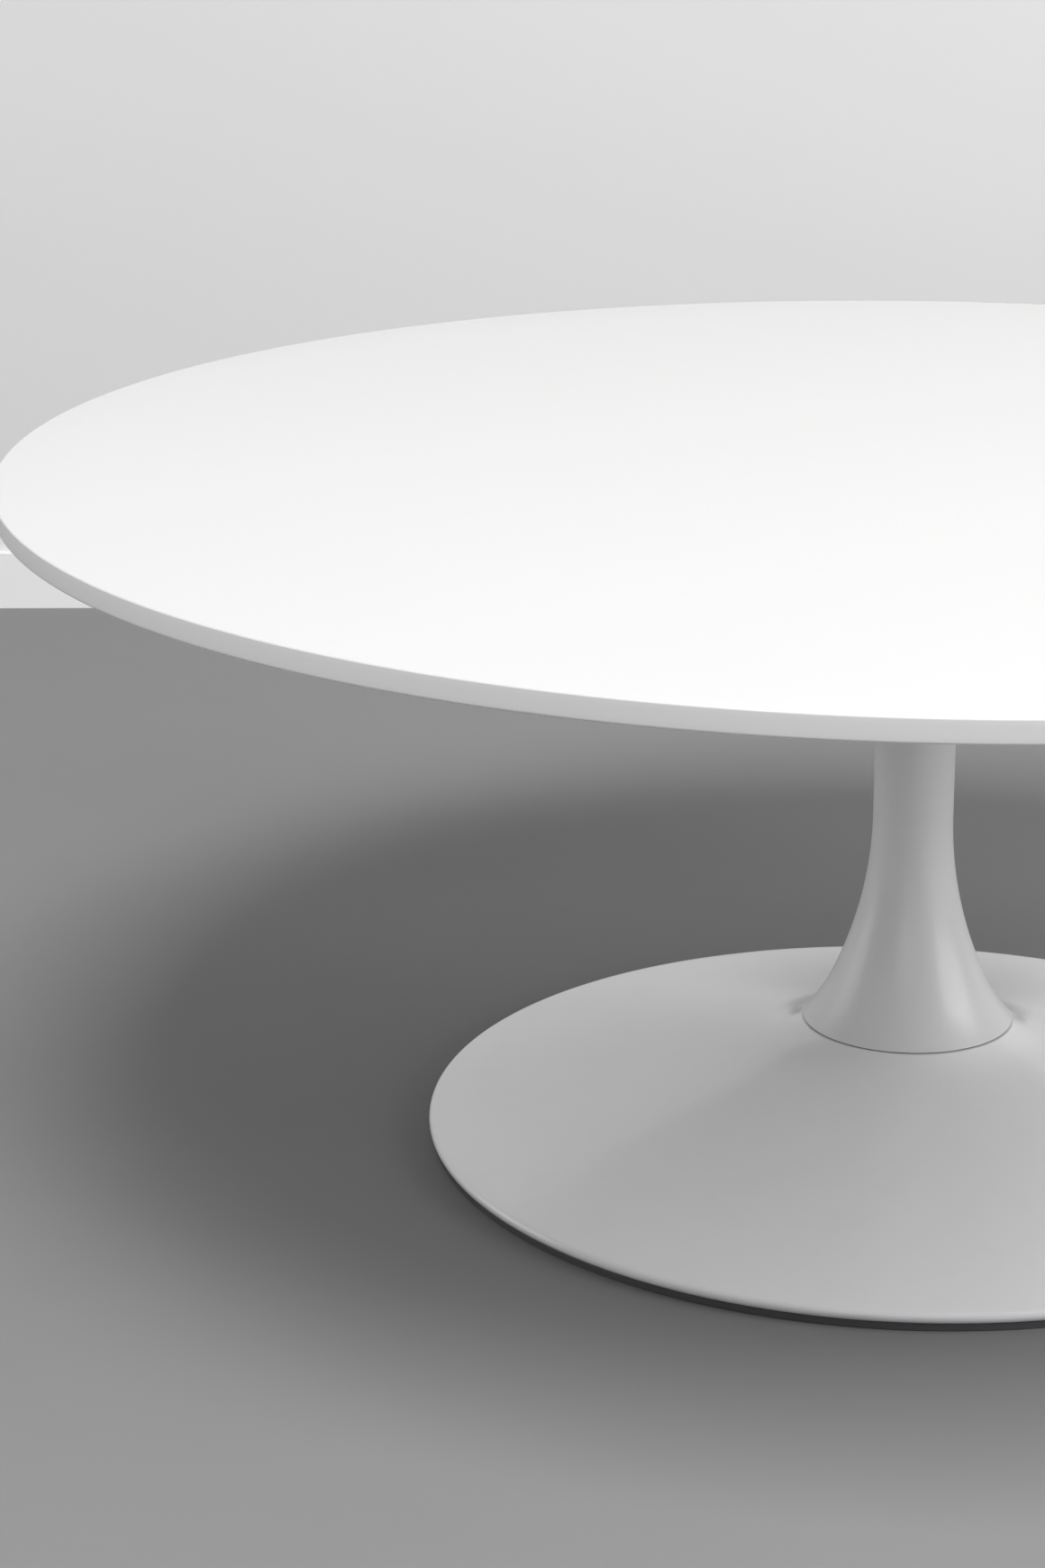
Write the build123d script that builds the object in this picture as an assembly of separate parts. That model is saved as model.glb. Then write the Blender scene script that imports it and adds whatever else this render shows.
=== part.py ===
from build123d import *

import os
from math import cos, radians, sin, tan

# Round pedestal coffee table: a thin round top on a trumpet column and a wide spun base.
# The origin is the centre of the floor ring on the floor, +Z is up, sizes are millimetres.


# ---------------------------------------------------------------- driving sizes
# tabletop
table_height = 427.0
top_radius = 550.0
top_thickness = 13.0
top_upper_arris = 1.0
top_lower_arris = 1.5

# column: a spun tube that flares out to the seam with the base
tube_radius = 24.5
column_wall = 2.0
flare_radius = 248.0
flare_angle = 25.6  # lean from the vertical where the long flare tightens into the skirt
skirt_radius = 108.0
skirt_angle = 41.4  # lean from the vertical at the skirt's lower edge
seam_height = 73.2  # lower edge of the column's skirt
seam_edge_radius = 0.5  # rounding of the skirt's lower edge
gasket_thickness = 0.6
gasket_recess = 1.0

# base: a spun steel trumpet, from the seam out to a rolled lip
base_radius = 299.0
base_wall = 2.0
neck_rounding = 0.4
neck_radius = 45.0
shoulder_slope = 22.0
shoulder_radius = 200.0
apron_slope = 14.0
lip_radius = 3.6
hem_length = 8.0
ring_height = 4.6  # the hem stands on the floor ring at this height

# floor ring
ring_recess = 2.3
ring_ledge_thickness = 2.5
ring_ledge_width = 10.0
ring_upstand_height = 1.8
ring_upstand_width = 2.0
ring_bevel = 0.6
ring_tread_width = 2.0
ring_tread_depth = 0.6
ring_tread_pitch = 5.0
ring_tread_count = 3

# ballast
ballast_margin = 27.0  # from the base's rim in to the plate's edge
ballast_thickness = 8.0
ballast_clearance = 0.5
ballast_bore_radius = 30.0

# hub inside the base
hub_flange_thickness = 8.0
hub_top_radius = 60.0
hub_foot_radius = 88.0
hub_core_radius = 26.0
hub_core_draft = 4.0
hub_core_cove = 6.0
hub_rib_count = 6
hub_rib_thickness = 7.0
hub_rib_draft = 1.5
hub_pocket_radius = 20.0
hub_pocket_depth = 20.0
hub_casting_radius = 3.0

# spider under the tabletop
spider_radius = 160.0
spider_plate = 4.0
spider_rib_count = 8
spider_rib_thickness = 5.0
spider_rib_draft = 1.5
spider_rib_drop = 22.0
spider_rim_width = 6.0
spider_rim_drop = 3.0
spider_rim_rounding = 1.5
spider_boss_radius = 33.0
spider_boss_draft = 3.0
spider_boss_cove = 5.0
spider_boss_height = 31.0
spider_web = 6.5
spider_pocket_radius = 16.0
spider_pad_radius = 9.0
spider_pad_height = 2.5
spider_screw_margin = 18.0
spider_window_radius = 13.0
spider_window_circle = 92.0

# column ends
head_depth = 20.0
head_flange = 4.0
spigot_radius = 17.0
spigot_height = 5.0
foot_thickness = 6.0
foot_window_radius = 9.0
foot_window_circle = 40.0

# tie rod, M12, and what sits on its ends
rod_radius = 6.0
rod_waist_radius = 5.4
rod_thread_length = 45.0
rod_bore_clearance = 0.5
rod_end_chamfer = 1.0
rod_past_nut = 1.7
nut_across_flats = 18.0
nut_height = 10.8
nut_face_share = 0.97
washer_radius = 12.0
washer_thickness = 2.5
lock_washer_radius = 10.4
lock_washer_thickness = 2.5
lock_washer_slit = 1.6
lock_washer_slant = 20.0
thread_clearance = 0.05

# screws and pins
top_screw_count = 8
top_screw_radius = 2.65
top_screw_hole_radius = 3.3
top_screw_length = 12.0
top_screw_head_radius = 5.25
top_screw_head_height = 3.3
top_screw_key = 4.0
key_share = 0.6
countersunk_key_share = 0.8
top_washer_radius = 6.25
top_washer_thickness = 1.6
insert_radius = 4.5
insert_length = 9.0
insert_groove = 0.5
insert_hole_margin = 0.8
shoulder_screw_count = 4
shoulder_screw_circle = 36.0
shoulder_screw_radius = 2.5
shoulder_screw_head_radius = 4.6
shoulder_screw_length = 9.5
shoulder_screw_key = 3.0
hub_screw_count = 6
hub_screw_circle = 74.0
hub_screw_radius = 4.0
hub_screw_head_radius = 8.0
hub_screw_length = 15.0
hub_screw_key = 5.0
ring_screw_count = 8
ring_screw_radius = 1.9
ring_screw_head_radius = 3.8
ring_screw_length = 8.0
ring_screw_key = 2.5
pin_count = 2
pin_circle = 54.0
pin_radius = 3.0
pin_length = 16.0
pin_chamfer = 0.5

# cap that closes the ballast plate's bore
cap_flange_overlap = 3.5
cap_flange_thickness = 1.4
cap_wall = 1.5
cap_depth = 6.0
cap_clearance = 0.3

seat_tolerance = 0.01

# ---------------------------------------------------------------- levels and radii worked out
top_underside = table_height - top_thickness
neck_height = seam_height - gasket_thickness
flare_drop = flare_radius * sin(radians(flare_angle))
flare_reach = flare_radius * (1 - cos(radians(flare_angle)))
skirt_drop = skirt_radius * (sin(radians(skirt_angle)) - sin(radians(flare_angle)))
skirt_reach = skirt_radius * (cos(radians(flare_angle)) - cos(radians(skirt_angle)))
flare_start = seam_height + skirt_drop + flare_drop
seam_radius = tube_radius + flare_reach + skirt_reach
neck_slope = 90.0 - skirt_angle
neck_edge_radius = seam_radius + gasket_thickness * tan(radians(skirt_angle))
spider_boss_base = top_underside - spider_boss_height
spider_screw_circle = spider_radius - spider_screw_margin
column_top = spider_boss_base - head_flange
ballast_radius = base_radius - ballast_margin
ballast_top = ring_ledge_thickness + ballast_thickness
hub_seat = neck_height - base_wall
hub_web = ballast_top + hub_pocket_depth
rod_bore_radius = rod_radius + rod_bore_clearance
spider_nut_seat = spider_boss_base + spigot_height + spider_web
stack_height = washer_thickness + lock_washer_thickness + nut_height
rod_top = spider_nut_seat + stack_height + rod_past_nut
rod_bottom = hub_web - stack_height - rod_past_nut
ring_outer_radius = base_radius - ring_recess
ring_step_radius = ballast_radius + ballast_clearance
ring_screw_circle = ballast_radius - ring_ledge_width / 2
lip_centre = (base_radius - lip_radius, ring_height + lip_radius)


def heading(slope):
    """Direction of travel down a surface that falls outward at this slope."""
    return Vector(cos(radians(slope)), -sin(radians(slope)))


def outward(slope):
    """Normal of a surface that falls outward at this slope, out of the sheet."""
    return Vector(sin(radians(slope)), cos(radians(slope)))


def turned(sketch):
    """Solid of revolution about the table's axis, from a half section in the XZ plane."""
    return revolve(Plane.XZ * sketch, Axis.Z)


def slab(inner_radius, outer_radius, bottom, top):
    """Half section of a flat ring or disc."""
    return Polygon(
        (inner_radius, bottom),
        (outer_radius, bottom),
        (outer_radius, top),
        (inner_radius, top),
        align=None,
    )


def is_at(vertex, x, y):
    """Whether a sketch's corner stands at this place."""
    return (Vector(vertex) - Vector(x, y)).length < seat_tolerance


def disc(radius, bottom, thickness):
    """Round disc, peg or drill about the table's axis."""
    return Pos(0, 0, bottom) * extrude(Circle(radius), thickness)


def ring_of(piece, count, circle, start=0.0):
    """Copies of a piece that stands on the Z axis, spread round a circle."""
    return [spot * piece for spot in PolarLocations(circle, count, start)]


# ---------------------------------------------------------------- the trumpet curve
def column_curve(inset):
    """Tube, flare and skirt, seen in half section, set in from the outer face by inset."""
    start = Vector(tube_radius - inset, column_top)
    tangent_point = Vector(tube_radius - inset, flare_start)
    straight = Line(start, tangent_point)
    flare = JernArc(tangent_point, (0, -1), flare_radius + inset, flare_angle)
    skirt = JernArc(
        flare @ 1, heading(90 - flare_angle), skirt_radius + inset, skirt_angle - flare_angle
    )
    return [straight, flare, skirt]


def rim_slope():
    """Slope at which the apron's long arc runs into the rolled lip."""
    start = apron_start() - outward(apron_slope) * lip_radius
    chord = Vector(*lip_centre) - start
    return 2 * Vector(1, 0).get_angle(chord) - apron_slope


def apron_start():
    """Where the shoulder arc ends and the long arc of the apron begins."""
    return base_curve_start(0.0)[-1] @ 1


def base_curve_start(inset):
    """Neck and shoulder arcs, which carry the skirt's slope on down."""
    start = Vector(neck_edge_radius, neck_height) - outward(neck_slope) * inset
    neck = JernArc(start, heading(neck_slope), neck_radius + inset, neck_slope - shoulder_slope)
    shoulder = JernArc(
        neck @ 1, heading(shoulder_slope), shoulder_radius + inset, shoulder_slope - apron_slope
    )
    return [neck, shoulder]


def base_curve(inset):
    """The base from the seam to the end of its rolled hem, set in from the outer face."""
    slope = rim_slope()
    edges = base_curve_start(inset)
    lip_start = Vector(*lip_centre) + outward(slope) * (lip_radius - inset)
    edges.append(TangentArc(edges[-1] @ 1, lip_start, tangent=heading(apron_slope)))
    edges.append(JernArc(lip_start, heading(slope), lip_radius - inset, slope - 180.0))
    hem_start = edges[-1] @ 1
    edges.append(Line(hem_start, hem_start - Vector(hem_length, 0)))
    return edges


def sheet(outer, inner):
    """Half section of the sheet metal between two parallel curves."""
    ends = [Line(outer[0] @ 0, inner[0] @ 0), Line(outer[-1] @ 1, inner[-1] @ 1)]
    return make_face(outer + inner + ends)


# ---------------------------------------------------------------- top
def make_tabletop():
    """Round panel with softened arrises and blind holes for the inserts."""
    edge = slab(0, top_radius, top_underside, table_height)
    corners = edge.vertices().group_by(Axis.X)[-1].sort_by(Axis.Y)
    edge = fillet(corners[0], top_lower_arris)
    corners = edge.vertices().sort_by(Axis.Y)[-2:].sort_by(Axis.X)
    edge = fillet(corners[-1], top_upper_arris)
    hole = disc(insert_radius, top_underside, insert_length + insert_hole_margin)
    return turned(edge) - ring_of(hole, top_screw_count, spider_screw_circle, spider_half_step())


def spider_half_step():
    """The spider's screws stand midway between its ribs."""
    return 180.0 / spider_rib_count


def make_inserts():
    """Threaded brass sleeves pressed into the tabletop, with two retaining grooves."""
    bore = top_screw_radius + thread_clearance
    body = slab(bore, insert_radius, top_underside, top_underside + insert_length)
    for share in (1 / 3, 2 / 3):
        middle = top_underside + insert_length * share
        groove_floor = insert_radius - insert_groove
        body -= slab(groove_floor, insert_radius, middle - insert_groove, middle + insert_groove)
    sleeve = turned(body)
    return ring_of(sleeve, top_screw_count, spider_screw_circle, spider_half_step())


def drafted_rib(side, length, root, tip, thickness, draft):
    """Radial rib with a side view, thinned on both faces from its root's level to its tip's."""
    slim = thickness / 2 - draft
    section = Polygon(
        (-thickness / 2, root), (thickness / 2, root), (slim, tip), (-slim, tip), align=None
    )
    bar = extrude(Plane.YZ * section, length, dir=(1, 0, 0))
    return bar & extrude(Plane.XZ * side, thickness, both=True)


def spider_rib():
    """One radial rib: deep at the boss, running out to nothing at the plate's rim."""
    plate_bottom = top_underside - spider_plate
    rib_bottom = plate_bottom - spider_rib_drop
    side = Polygon(
        (0, top_underside - spider_plate / 2),
        (spider_radius - spider_rim_width, top_underside - spider_plate / 2),
        (spider_radius - spider_rim_width, plate_bottom),
        (spider_boss_radius, rib_bottom),
        (0, rib_bottom),
        align=None,
    )
    return drafted_rib(
        side, spider_radius, top_underside, rib_bottom, spider_rib_thickness, spider_rib_draft
    )


def spider_blank():
    """The casting's turned form: plate, rounded rim bead and a boss with a cove at its root."""
    plate_bottom = top_underside - spider_plate
    plate = slab(0, spider_radius, plate_bottom, top_underside)
    bead_bottom = plate_bottom - spider_rim_drop
    bead = slab(spider_radius - spider_rim_width, spider_radius, bead_bottom, top_underside)
    bead = fillet(bead.vertices().group_by(Axis.Y)[0], spider_rim_rounding)
    boss = Polygon(
        (0, spider_boss_base),
        (spider_boss_radius - spider_boss_draft, spider_boss_base),
        (spider_boss_radius, plate_bottom),
        (spider_boss_radius, top_underside),
        (0, top_underside),
        align=None,
    )
    profile = plate + boss
    root = profile.vertices().filter_by(lambda v: is_at(v, spider_boss_radius, plate_bottom))
    return turned(fillet(root, spider_boss_cove) + bead)


def make_spider():
    """Cast spider: a plate, a boss over the column's head and tapering ribs between them."""
    plate_bottom = top_underside - spider_plate
    step = 360 / spider_rib_count
    body = spider_blank() + [Rot(0, 0, step * i) * spider_rib() for i in range(spider_rib_count)]
    pad = disc(spider_pad_radius, plate_bottom - spider_pad_height, spider_pad_height)
    body += ring_of(pad, top_screw_count, spider_screw_circle, spider_half_step())
    screw_hole = disc(top_screw_hole_radius, spider_boss_base, spider_boss_height)
    body -= ring_of(screw_hole, top_screw_count, spider_screw_circle, spider_half_step())
    window = disc(spider_window_radius, spider_boss_base, spider_boss_height)
    body -= ring_of(window, spider_rib_count, spider_window_circle, spider_half_step())
    socket = slab(0, spigot_radius + rod_bore_clearance, spider_boss_base, spider_nut_seat - spider_web)
    bore = slab(0, rod_bore_radius, spider_boss_base, top_underside)
    pocket = slab(0, spider_pocket_radius, spider_nut_seat, top_underside)
    return body - turned(socket + bore + pocket)


def make_top_washers():
    """Plain washers under the spider's screws."""
    seat = top_underside - spider_plate - spider_pad_height
    washer = slab(top_screw_hole_radius, top_washer_radius, seat - top_washer_thickness, seat)
    return ring_of(turned(washer), top_screw_count, spider_screw_circle, spider_half_step())


def make_top_screws():
    """Button-head screws, from below, through the spider into the inserts."""
    seat = top_underside - spider_plate - spider_pad_height - top_washer_thickness
    shank = disc(top_screw_radius, 0, top_screw_length + top_washer_thickness)
    head_face = top_screw_head_radius - top_screw_head_height / 2
    head = make_face(
        [
            Line((0, 0), (top_screw_head_radius, 0)),
            TangentArc(
                (top_screw_head_radius, 0), (head_face, -top_screw_head_height), tangent=(-0.2, -1)
            ),
            Line((head_face, -top_screw_head_height), (0, -top_screw_head_height)),
            Line((0, -top_screw_head_height), (0, 0)),
        ]
    )
    key_depth = top_screw_head_height * key_share
    key = Pos(0, 0, -top_screw_head_height) * extrude(hexagon(top_screw_key), key_depth)
    screw = Pos(0, 0, seat) * (shank + turned(head) - key)
    return ring_of(screw, top_screw_count, spider_screw_circle, spider_half_step())


# ---------------------------------------------------------------- fasteners
def hexagon(across_flats):
    """Hexagon of a spanner or key size."""
    return RegularPolygon(across_flats / 2, 6, major_radius=False)


def countersunk_screw(radius, head_radius, length, key_size):
    """Flat-head screw standing point up, its head's face at the origin."""
    cone_depth = head_radius - radius
    section = Polygon(
        (0, 0),
        (head_radius, 0),
        (radius, cone_depth),
        (radius, length),
        (0, length),
        align=None,
    )
    key = extrude(hexagon(key_size), cone_depth * countersunk_key_share)
    return turned(section) - key


def countersunk_hole(radius, head_radius, depth):
    """What a flat-head screw takes out of the sheet or plate that it holds."""
    section = Polygon(
        (0, 0),
        (head_radius, 0),
        (radius + thread_clearance, head_radius - radius),
        (radius + thread_clearance, depth),
        (0, depth),
        align=None,
    )
    return turned(section)


def hex_nut(bottom):
    """M12 nut, its corners turned off at both faces."""
    blank = extrude(hexagon(nut_across_flats), nut_height)
    corner_radius = nut_across_flats / 2 / cos(radians(30))
    face_radius = nut_across_flats / 2 * nut_face_share
    bevel = (corner_radius - face_radius) / 2
    envelope = Polygon(
        (rod_radius + thread_clearance, 0),
        (face_radius, 0),
        (corner_radius, bevel),
        (corner_radius, nut_height - bevel),
        (face_radius, nut_height),
        (rod_radius + thread_clearance, nut_height),
        align=None,
    )
    return Pos(0, 0, bottom) * (blank & turned(envelope))


def flat_washer(bottom):
    """Plain M12 washer."""
    return turned(slab(rod_bore_radius, washer_radius, bottom, bottom + washer_thickness))


def lock_washer(bottom):
    """Split spring washer, pressed flat, with its slanting slit."""
    coil = turned(slab(rod_bore_radius, lock_washer_radius, bottom, bottom + lock_washer_thickness))
    gap = Rectangle(washer_radius, lock_washer_slit, align=(Align.MIN, Align.CENTER))
    slit = extrude(gap, washer_radius, both=True)
    middle = bottom + lock_washer_thickness / 2
    return coil - Pos(0, 0, middle) * Rot(lock_washer_slant, 0, 0) * slit


def make_tie_rod():
    """Rod that pulls the spider, column and base together, waisted between its threads."""
    chamfered = rod_radius - rod_end_chamfer
    section = Polygon(
        (0, rod_bottom),
        (chamfered, rod_bottom),
        (rod_radius, rod_bottom + rod_end_chamfer),
        (rod_radius, rod_bottom + rod_thread_length),
        (rod_waist_radius, rod_bottom + rod_thread_length + rod_end_chamfer),
        (rod_waist_radius, rod_top - rod_thread_length - rod_end_chamfer),
        (rod_radius, rod_top - rod_thread_length),
        (rod_radius, rod_top - rod_end_chamfer),
        (chamfered, rod_top),
        (0, rod_top),
        align=None,
    )
    return turned(section)


# ---------------------------------------------------------------- column
def make_column():
    """Spun column: a straight tube that flares to the seam, cut off level at its foot."""
    wall = sheet(column_curve(0.0), column_curve(column_wall)) - slab(0, base_radius, 0, seam_height)
    edge = wall.vertices().sort_by(Axis.X)[-1]
    return turned(fillet(edge, seam_edge_radius))


def column_inside():
    """Half section of the room inside the column."""
    inner = column_curve(column_wall)
    end = inner[-1] @ 1
    close = Polyline(end, (0, end.Y), (0, column_top), (tube_radius - column_wall, column_top))
    return make_face(inner + [close])


def make_column_head():
    """Turned plug in the column's top end, with a flange and a spigot for the spider."""
    plug = slab(rod_bore_radius, tube_radius - column_wall, column_top - head_depth, column_top)
    flange = slab(rod_bore_radius, tube_radius, column_top, spider_boss_base)
    spigot = slab(rod_bore_radius, spigot_radius, spider_boss_base, spider_boss_base + spigot_height)
    return turned(plug + flange + spigot)


def make_column_foot():
    """Plate welded inside the skirt, which stands on the gasket and takes the pins."""
    band = slab(rod_bore_radius, base_radius, seam_height, seam_height + foot_thickness)
    plate = turned(column_inside() & band)
    window = disc(foot_window_radius, seam_height, foot_thickness)
    plate -= ring_of(window, shoulder_screw_count, foot_window_circle, 180 / shoulder_screw_count)
    return plate - pin_holes()


def make_gasket():
    """Thin dark ring that shows as the line between column and base."""
    inner = pin_circle - pin_radius * 2
    return turned(slab(inner, seam_radius - gasket_recess, neck_height, seam_height)) - pin_holes()


def pin_holes():
    """Clearance for the two pins, all the way through what they locate."""
    hole = disc(pin_radius + thread_clearance, seam_height - pin_length, pin_length * 2)
    return ring_of(hole, pin_count, pin_circle)


def make_pins():
    """Two pins that stop the column turning on the base."""
    top = seam_height + foot_thickness - pin_chamfer
    section = slab(0, pin_radius, top - pin_length, top)
    corners = section.vertices().group_by(Axis.X)[-1]
    pin = turned(chamfer(corners, pin_chamfer))
    return ring_of(pin, pin_count, pin_circle)


# ---------------------------------------------------------------- base
def make_base_shell():
    """Spun trumpet base, with a flat seat turned in at the neck and a rolled hem at the rim."""
    wall = sheet(base_curve(0.0), base_curve(base_wall))
    seat = slab(hub_pocket_radius, neck_edge_radius, hub_seat, neck_height)
    profile = wall + seat
    edge = profile.vertices().filter_by(lambda v: is_at(v, neck_edge_radius, neck_height))
    return turned(fillet(edge, neck_rounding)) - shoulder_screw_holes(base_wall) - pin_holes()


def shoulder_screw_holes(depth):
    """Countersunk holes down from the neck, through the shell's seat and on into the hub."""
    hole = countersunk_hole(shoulder_screw_radius, shoulder_screw_head_radius, depth)
    return ring_of(
        Pos(0, 0, neck_height) * Rot(180, 0, 0) * hole, shoulder_screw_count, shoulder_screw_circle
    )


def make_shoulder_screws():
    """Flat-head screws that hold the shell's seat down on the hub."""
    screw = countersunk_screw(
        shoulder_screw_radius, shoulder_screw_head_radius, shoulder_screw_length, shoulder_screw_key
    )
    return ring_of(
        Pos(0, 0, neck_height) * Rot(180, 0, 0) * screw, shoulder_screw_count, shoulder_screw_circle
    )


def hub_rib():
    """One rib of the hub, from its core out to the rims of both flanges."""
    foot_level = ballast_top + hub_flange_thickness / 2
    head_level = hub_seat - hub_flange_thickness / 2
    side = Polygon(
        (rod_bore_radius, foot_level),
        (hub_foot_radius - hub_casting_radius, foot_level),
        (hub_top_radius - hub_casting_radius, head_level),
        (rod_bore_radius, head_level),
        align=None,
    )
    return drafted_rib(
        side, hub_foot_radius, foot_level, head_level, hub_rib_thickness, hub_rib_draft
    )


def hub_blank():
    """The casting's turned form: two flanges and a tapered core with coves into both."""
    foot_top = ballast_top + hub_flange_thickness
    head_bottom = hub_seat - hub_flange_thickness
    profile = Polygon(
        (0, ballast_top),
        (hub_foot_radius, ballast_top),
        (hub_foot_radius, foot_top),
        (hub_core_radius + hub_core_draft, foot_top),
        (hub_core_radius, head_bottom),
        (hub_top_radius, head_bottom),
        (hub_top_radius, hub_seat),
        (0, hub_seat),
        align=None,
    )
    corners = profile.vertices()
    coves = corners.filter_by(lambda v: is_at(v, hub_core_radius + hub_core_draft, foot_top))
    coves += corners.filter_by(lambda v: is_at(v, hub_core_radius, head_bottom))
    return turned(fillet(coves, hub_core_cove))


def make_hub():
    """Cast-iron hub between the ballast plate and the shell's seat."""
    step = 360 / hub_rib_count
    body = hub_blank() + [Rot(0, 0, step * (i + 0.5)) * hub_rib() for i in range(hub_rib_count)]
    bore = slab(0, rod_bore_radius, ballast_top, hub_seat)
    pocket = slab(0, hub_pocket_radius, ballast_top, hub_web)
    body -= turned(bore + pocket)
    foot_hole = disc(hub_screw_radius + thread_clearance, ballast_top, hub_flange_thickness)
    body -= ring_of(foot_hole, hub_screw_count, hub_screw_circle)
    return body - shoulder_screw_holes(hub_flange_thickness + base_wall) - pin_holes()


def make_ballast():
    """Heavy steel plate under the hub, standing on the floor ring's ledge."""
    plate = slab(ballast_bore_radius, ballast_radius, ring_ledge_thickness, ballast_top)
    hub_hole = Pos(0, 0, ring_ledge_thickness) * countersunk_hole(
        hub_screw_radius, hub_screw_head_radius, ballast_thickness
    )
    ring_hole = disc(ring_screw_radius + thread_clearance, ring_ledge_thickness, ballast_thickness)
    body = turned(plate) - ring_of(hub_hole, hub_screw_count, hub_screw_circle)
    return body - ring_of(ring_hole, ring_screw_count, ring_screw_circle)


def make_hub_screws():
    """Flat-head screws up through the ballast plate into the hub's foot."""
    screw = countersunk_screw(hub_screw_radius, hub_screw_head_radius, hub_screw_length, hub_screw_key)
    return ring_of(Pos(0, 0, ring_ledge_thickness) * screw, hub_screw_count, hub_screw_circle)


def make_floor_ring():
    """Dark plastic ring under the hem, with an upstand inside it and a ledge for the ballast."""
    upstand_outer = lip_centre[0] - hem_length - ballast_clearance
    body = slab(ring_step_radius, ring_outer_radius, 0, ring_height)
    body = chamfer(body.vertices().group_by(Axis.X)[-1], ring_bevel)
    ledge = slab(ballast_radius - ring_ledge_width, ring_step_radius, 0, ring_ledge_thickness)
    upstand = slab(
        upstand_outer - ring_upstand_width, upstand_outer, ring_height, ring_height + ring_upstand_height
    )
    profile = body + ledge + upstand
    for i in range(ring_tread_count):
        groove_outer = ring_outer_radius - ring_tread_pitch * (i + 1)
        profile -= slab(groove_outer - ring_tread_width, groove_outer, 0, ring_tread_depth)
    screw_hole = countersunk_hole(ring_screw_radius, ring_screw_head_radius, ring_ledge_thickness)
    return turned(profile) - ring_of(screw_hole, ring_screw_count, ring_screw_circle)


def make_ring_screws():
    """Flat-head screws that hold the floor ring to the ballast plate."""
    screw = countersunk_screw(
        ring_screw_radius, ring_screw_head_radius, ring_screw_length, ring_screw_key
    )
    return ring_of(screw, ring_screw_count, ring_screw_circle)


def make_cap():
    """Plastic cap that closes the bore under the lower nut."""
    outer = ballast_bore_radius - cap_clearance
    base = ring_ledge_thickness - cap_flange_thickness
    flange = slab(0, ballast_bore_radius + cap_flange_overlap, base, ring_ledge_thickness)
    wall = slab(outer - cap_wall, outer, ring_ledge_thickness, ring_ledge_thickness + cap_depth)
    return turned(flange + wall)


# ---------------------------------------------------------------- write every piece
def write(name, pieces):
    """One STEP file per node."""
    shape = Compound(pieces) if isinstance(pieces, list) else pieces
    export_step(shape, f"parts/{name}.step")


top_nut_seat = spider_nut_seat + washer_thickness + lock_washer_thickness
bottom_lock_seat = hub_web - washer_thickness - lock_washer_thickness

os.makedirs("parts", exist_ok=True)
write("tabletop", make_tabletop())
write("top_inserts", make_inserts())
write("top_spider", make_spider())
write("top_washers", make_top_washers())
write("top_screws", make_top_screws())
write("column", make_column())
write("column_head", make_column_head())
write("column_foot", make_column_foot())
write("seam_gasket", make_gasket())
write("locating_pins", make_pins())
write("tie_rod", make_tie_rod())
write("rod_top_washer", flat_washer(spider_nut_seat))
write("rod_top_lock_washer", lock_washer(spider_nut_seat + washer_thickness))
write("rod_top_nut", hex_nut(top_nut_seat))
write("rod_bottom_washer", flat_washer(hub_web - washer_thickness))
write("rod_bottom_lock_washer", lock_washer(bottom_lock_seat))
write("rod_bottom_nut", hex_nut(bottom_lock_seat - nut_height))
write("base_shell", make_base_shell())
write("shoulder_screws", make_shoulder_screws())
write("base_hub", make_hub())
write("ballast_plate", make_ballast())
write("hub_screws", make_hub_screws())
write("floor_ring", make_floor_ring())
write("ring_screws", make_ring_screws())
write("bore_cap", make_cap())
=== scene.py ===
"""Round pedestal coffee table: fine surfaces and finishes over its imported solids.

The top, column, base shell, gasket, floor ring and tie rod are made here as fine meshes that
stand for their solids. The castings, plates and fasteners keep their solids and get finishes.
Everything is in metres, with the floor at z = 0 and the table's axis on Z.
"""

from __future__ import annotations

import sys

import logging
import math
from collections.abc import Callable, Iterable, Sequence
from dataclasses import dataclass, field
from enum import Enum

import bmesh
import bpy
from mathutils import Matrix, Vector


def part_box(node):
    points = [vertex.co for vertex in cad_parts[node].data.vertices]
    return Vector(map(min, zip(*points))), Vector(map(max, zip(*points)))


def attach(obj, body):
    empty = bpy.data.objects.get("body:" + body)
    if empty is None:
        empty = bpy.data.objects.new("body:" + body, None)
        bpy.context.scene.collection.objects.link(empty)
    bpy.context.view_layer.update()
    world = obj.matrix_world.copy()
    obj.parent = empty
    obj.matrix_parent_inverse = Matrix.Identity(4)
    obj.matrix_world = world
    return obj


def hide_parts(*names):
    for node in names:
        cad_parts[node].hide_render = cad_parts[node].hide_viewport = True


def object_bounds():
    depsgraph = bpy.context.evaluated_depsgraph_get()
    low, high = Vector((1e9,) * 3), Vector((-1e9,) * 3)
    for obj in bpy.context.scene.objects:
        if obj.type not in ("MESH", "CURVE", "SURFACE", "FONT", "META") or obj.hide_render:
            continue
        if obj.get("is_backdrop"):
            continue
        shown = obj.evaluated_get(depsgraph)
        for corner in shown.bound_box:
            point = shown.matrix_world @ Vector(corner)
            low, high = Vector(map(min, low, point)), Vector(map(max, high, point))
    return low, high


LOG = logging.getLogger("pedestal_table")
MM = 0.001
BODY = "root"
ON_AXIS = 1e-7  # metres from the axis within which a ring of points is one point
CRISP_ANGLE = 28.0  # degrees between faces above which an edge stays crisp
DRILL_FACETS = 40
OVERCUT = 0.02  # share of a cut's depth by which the drill overshoots it
Point = tuple[float, float]
Drill = tuple[float, float, float, float]  # X, Y, lower radius and upper radius
Colour = tuple[float, float, float]
Socket = bpy.types.NodeSocket


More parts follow.
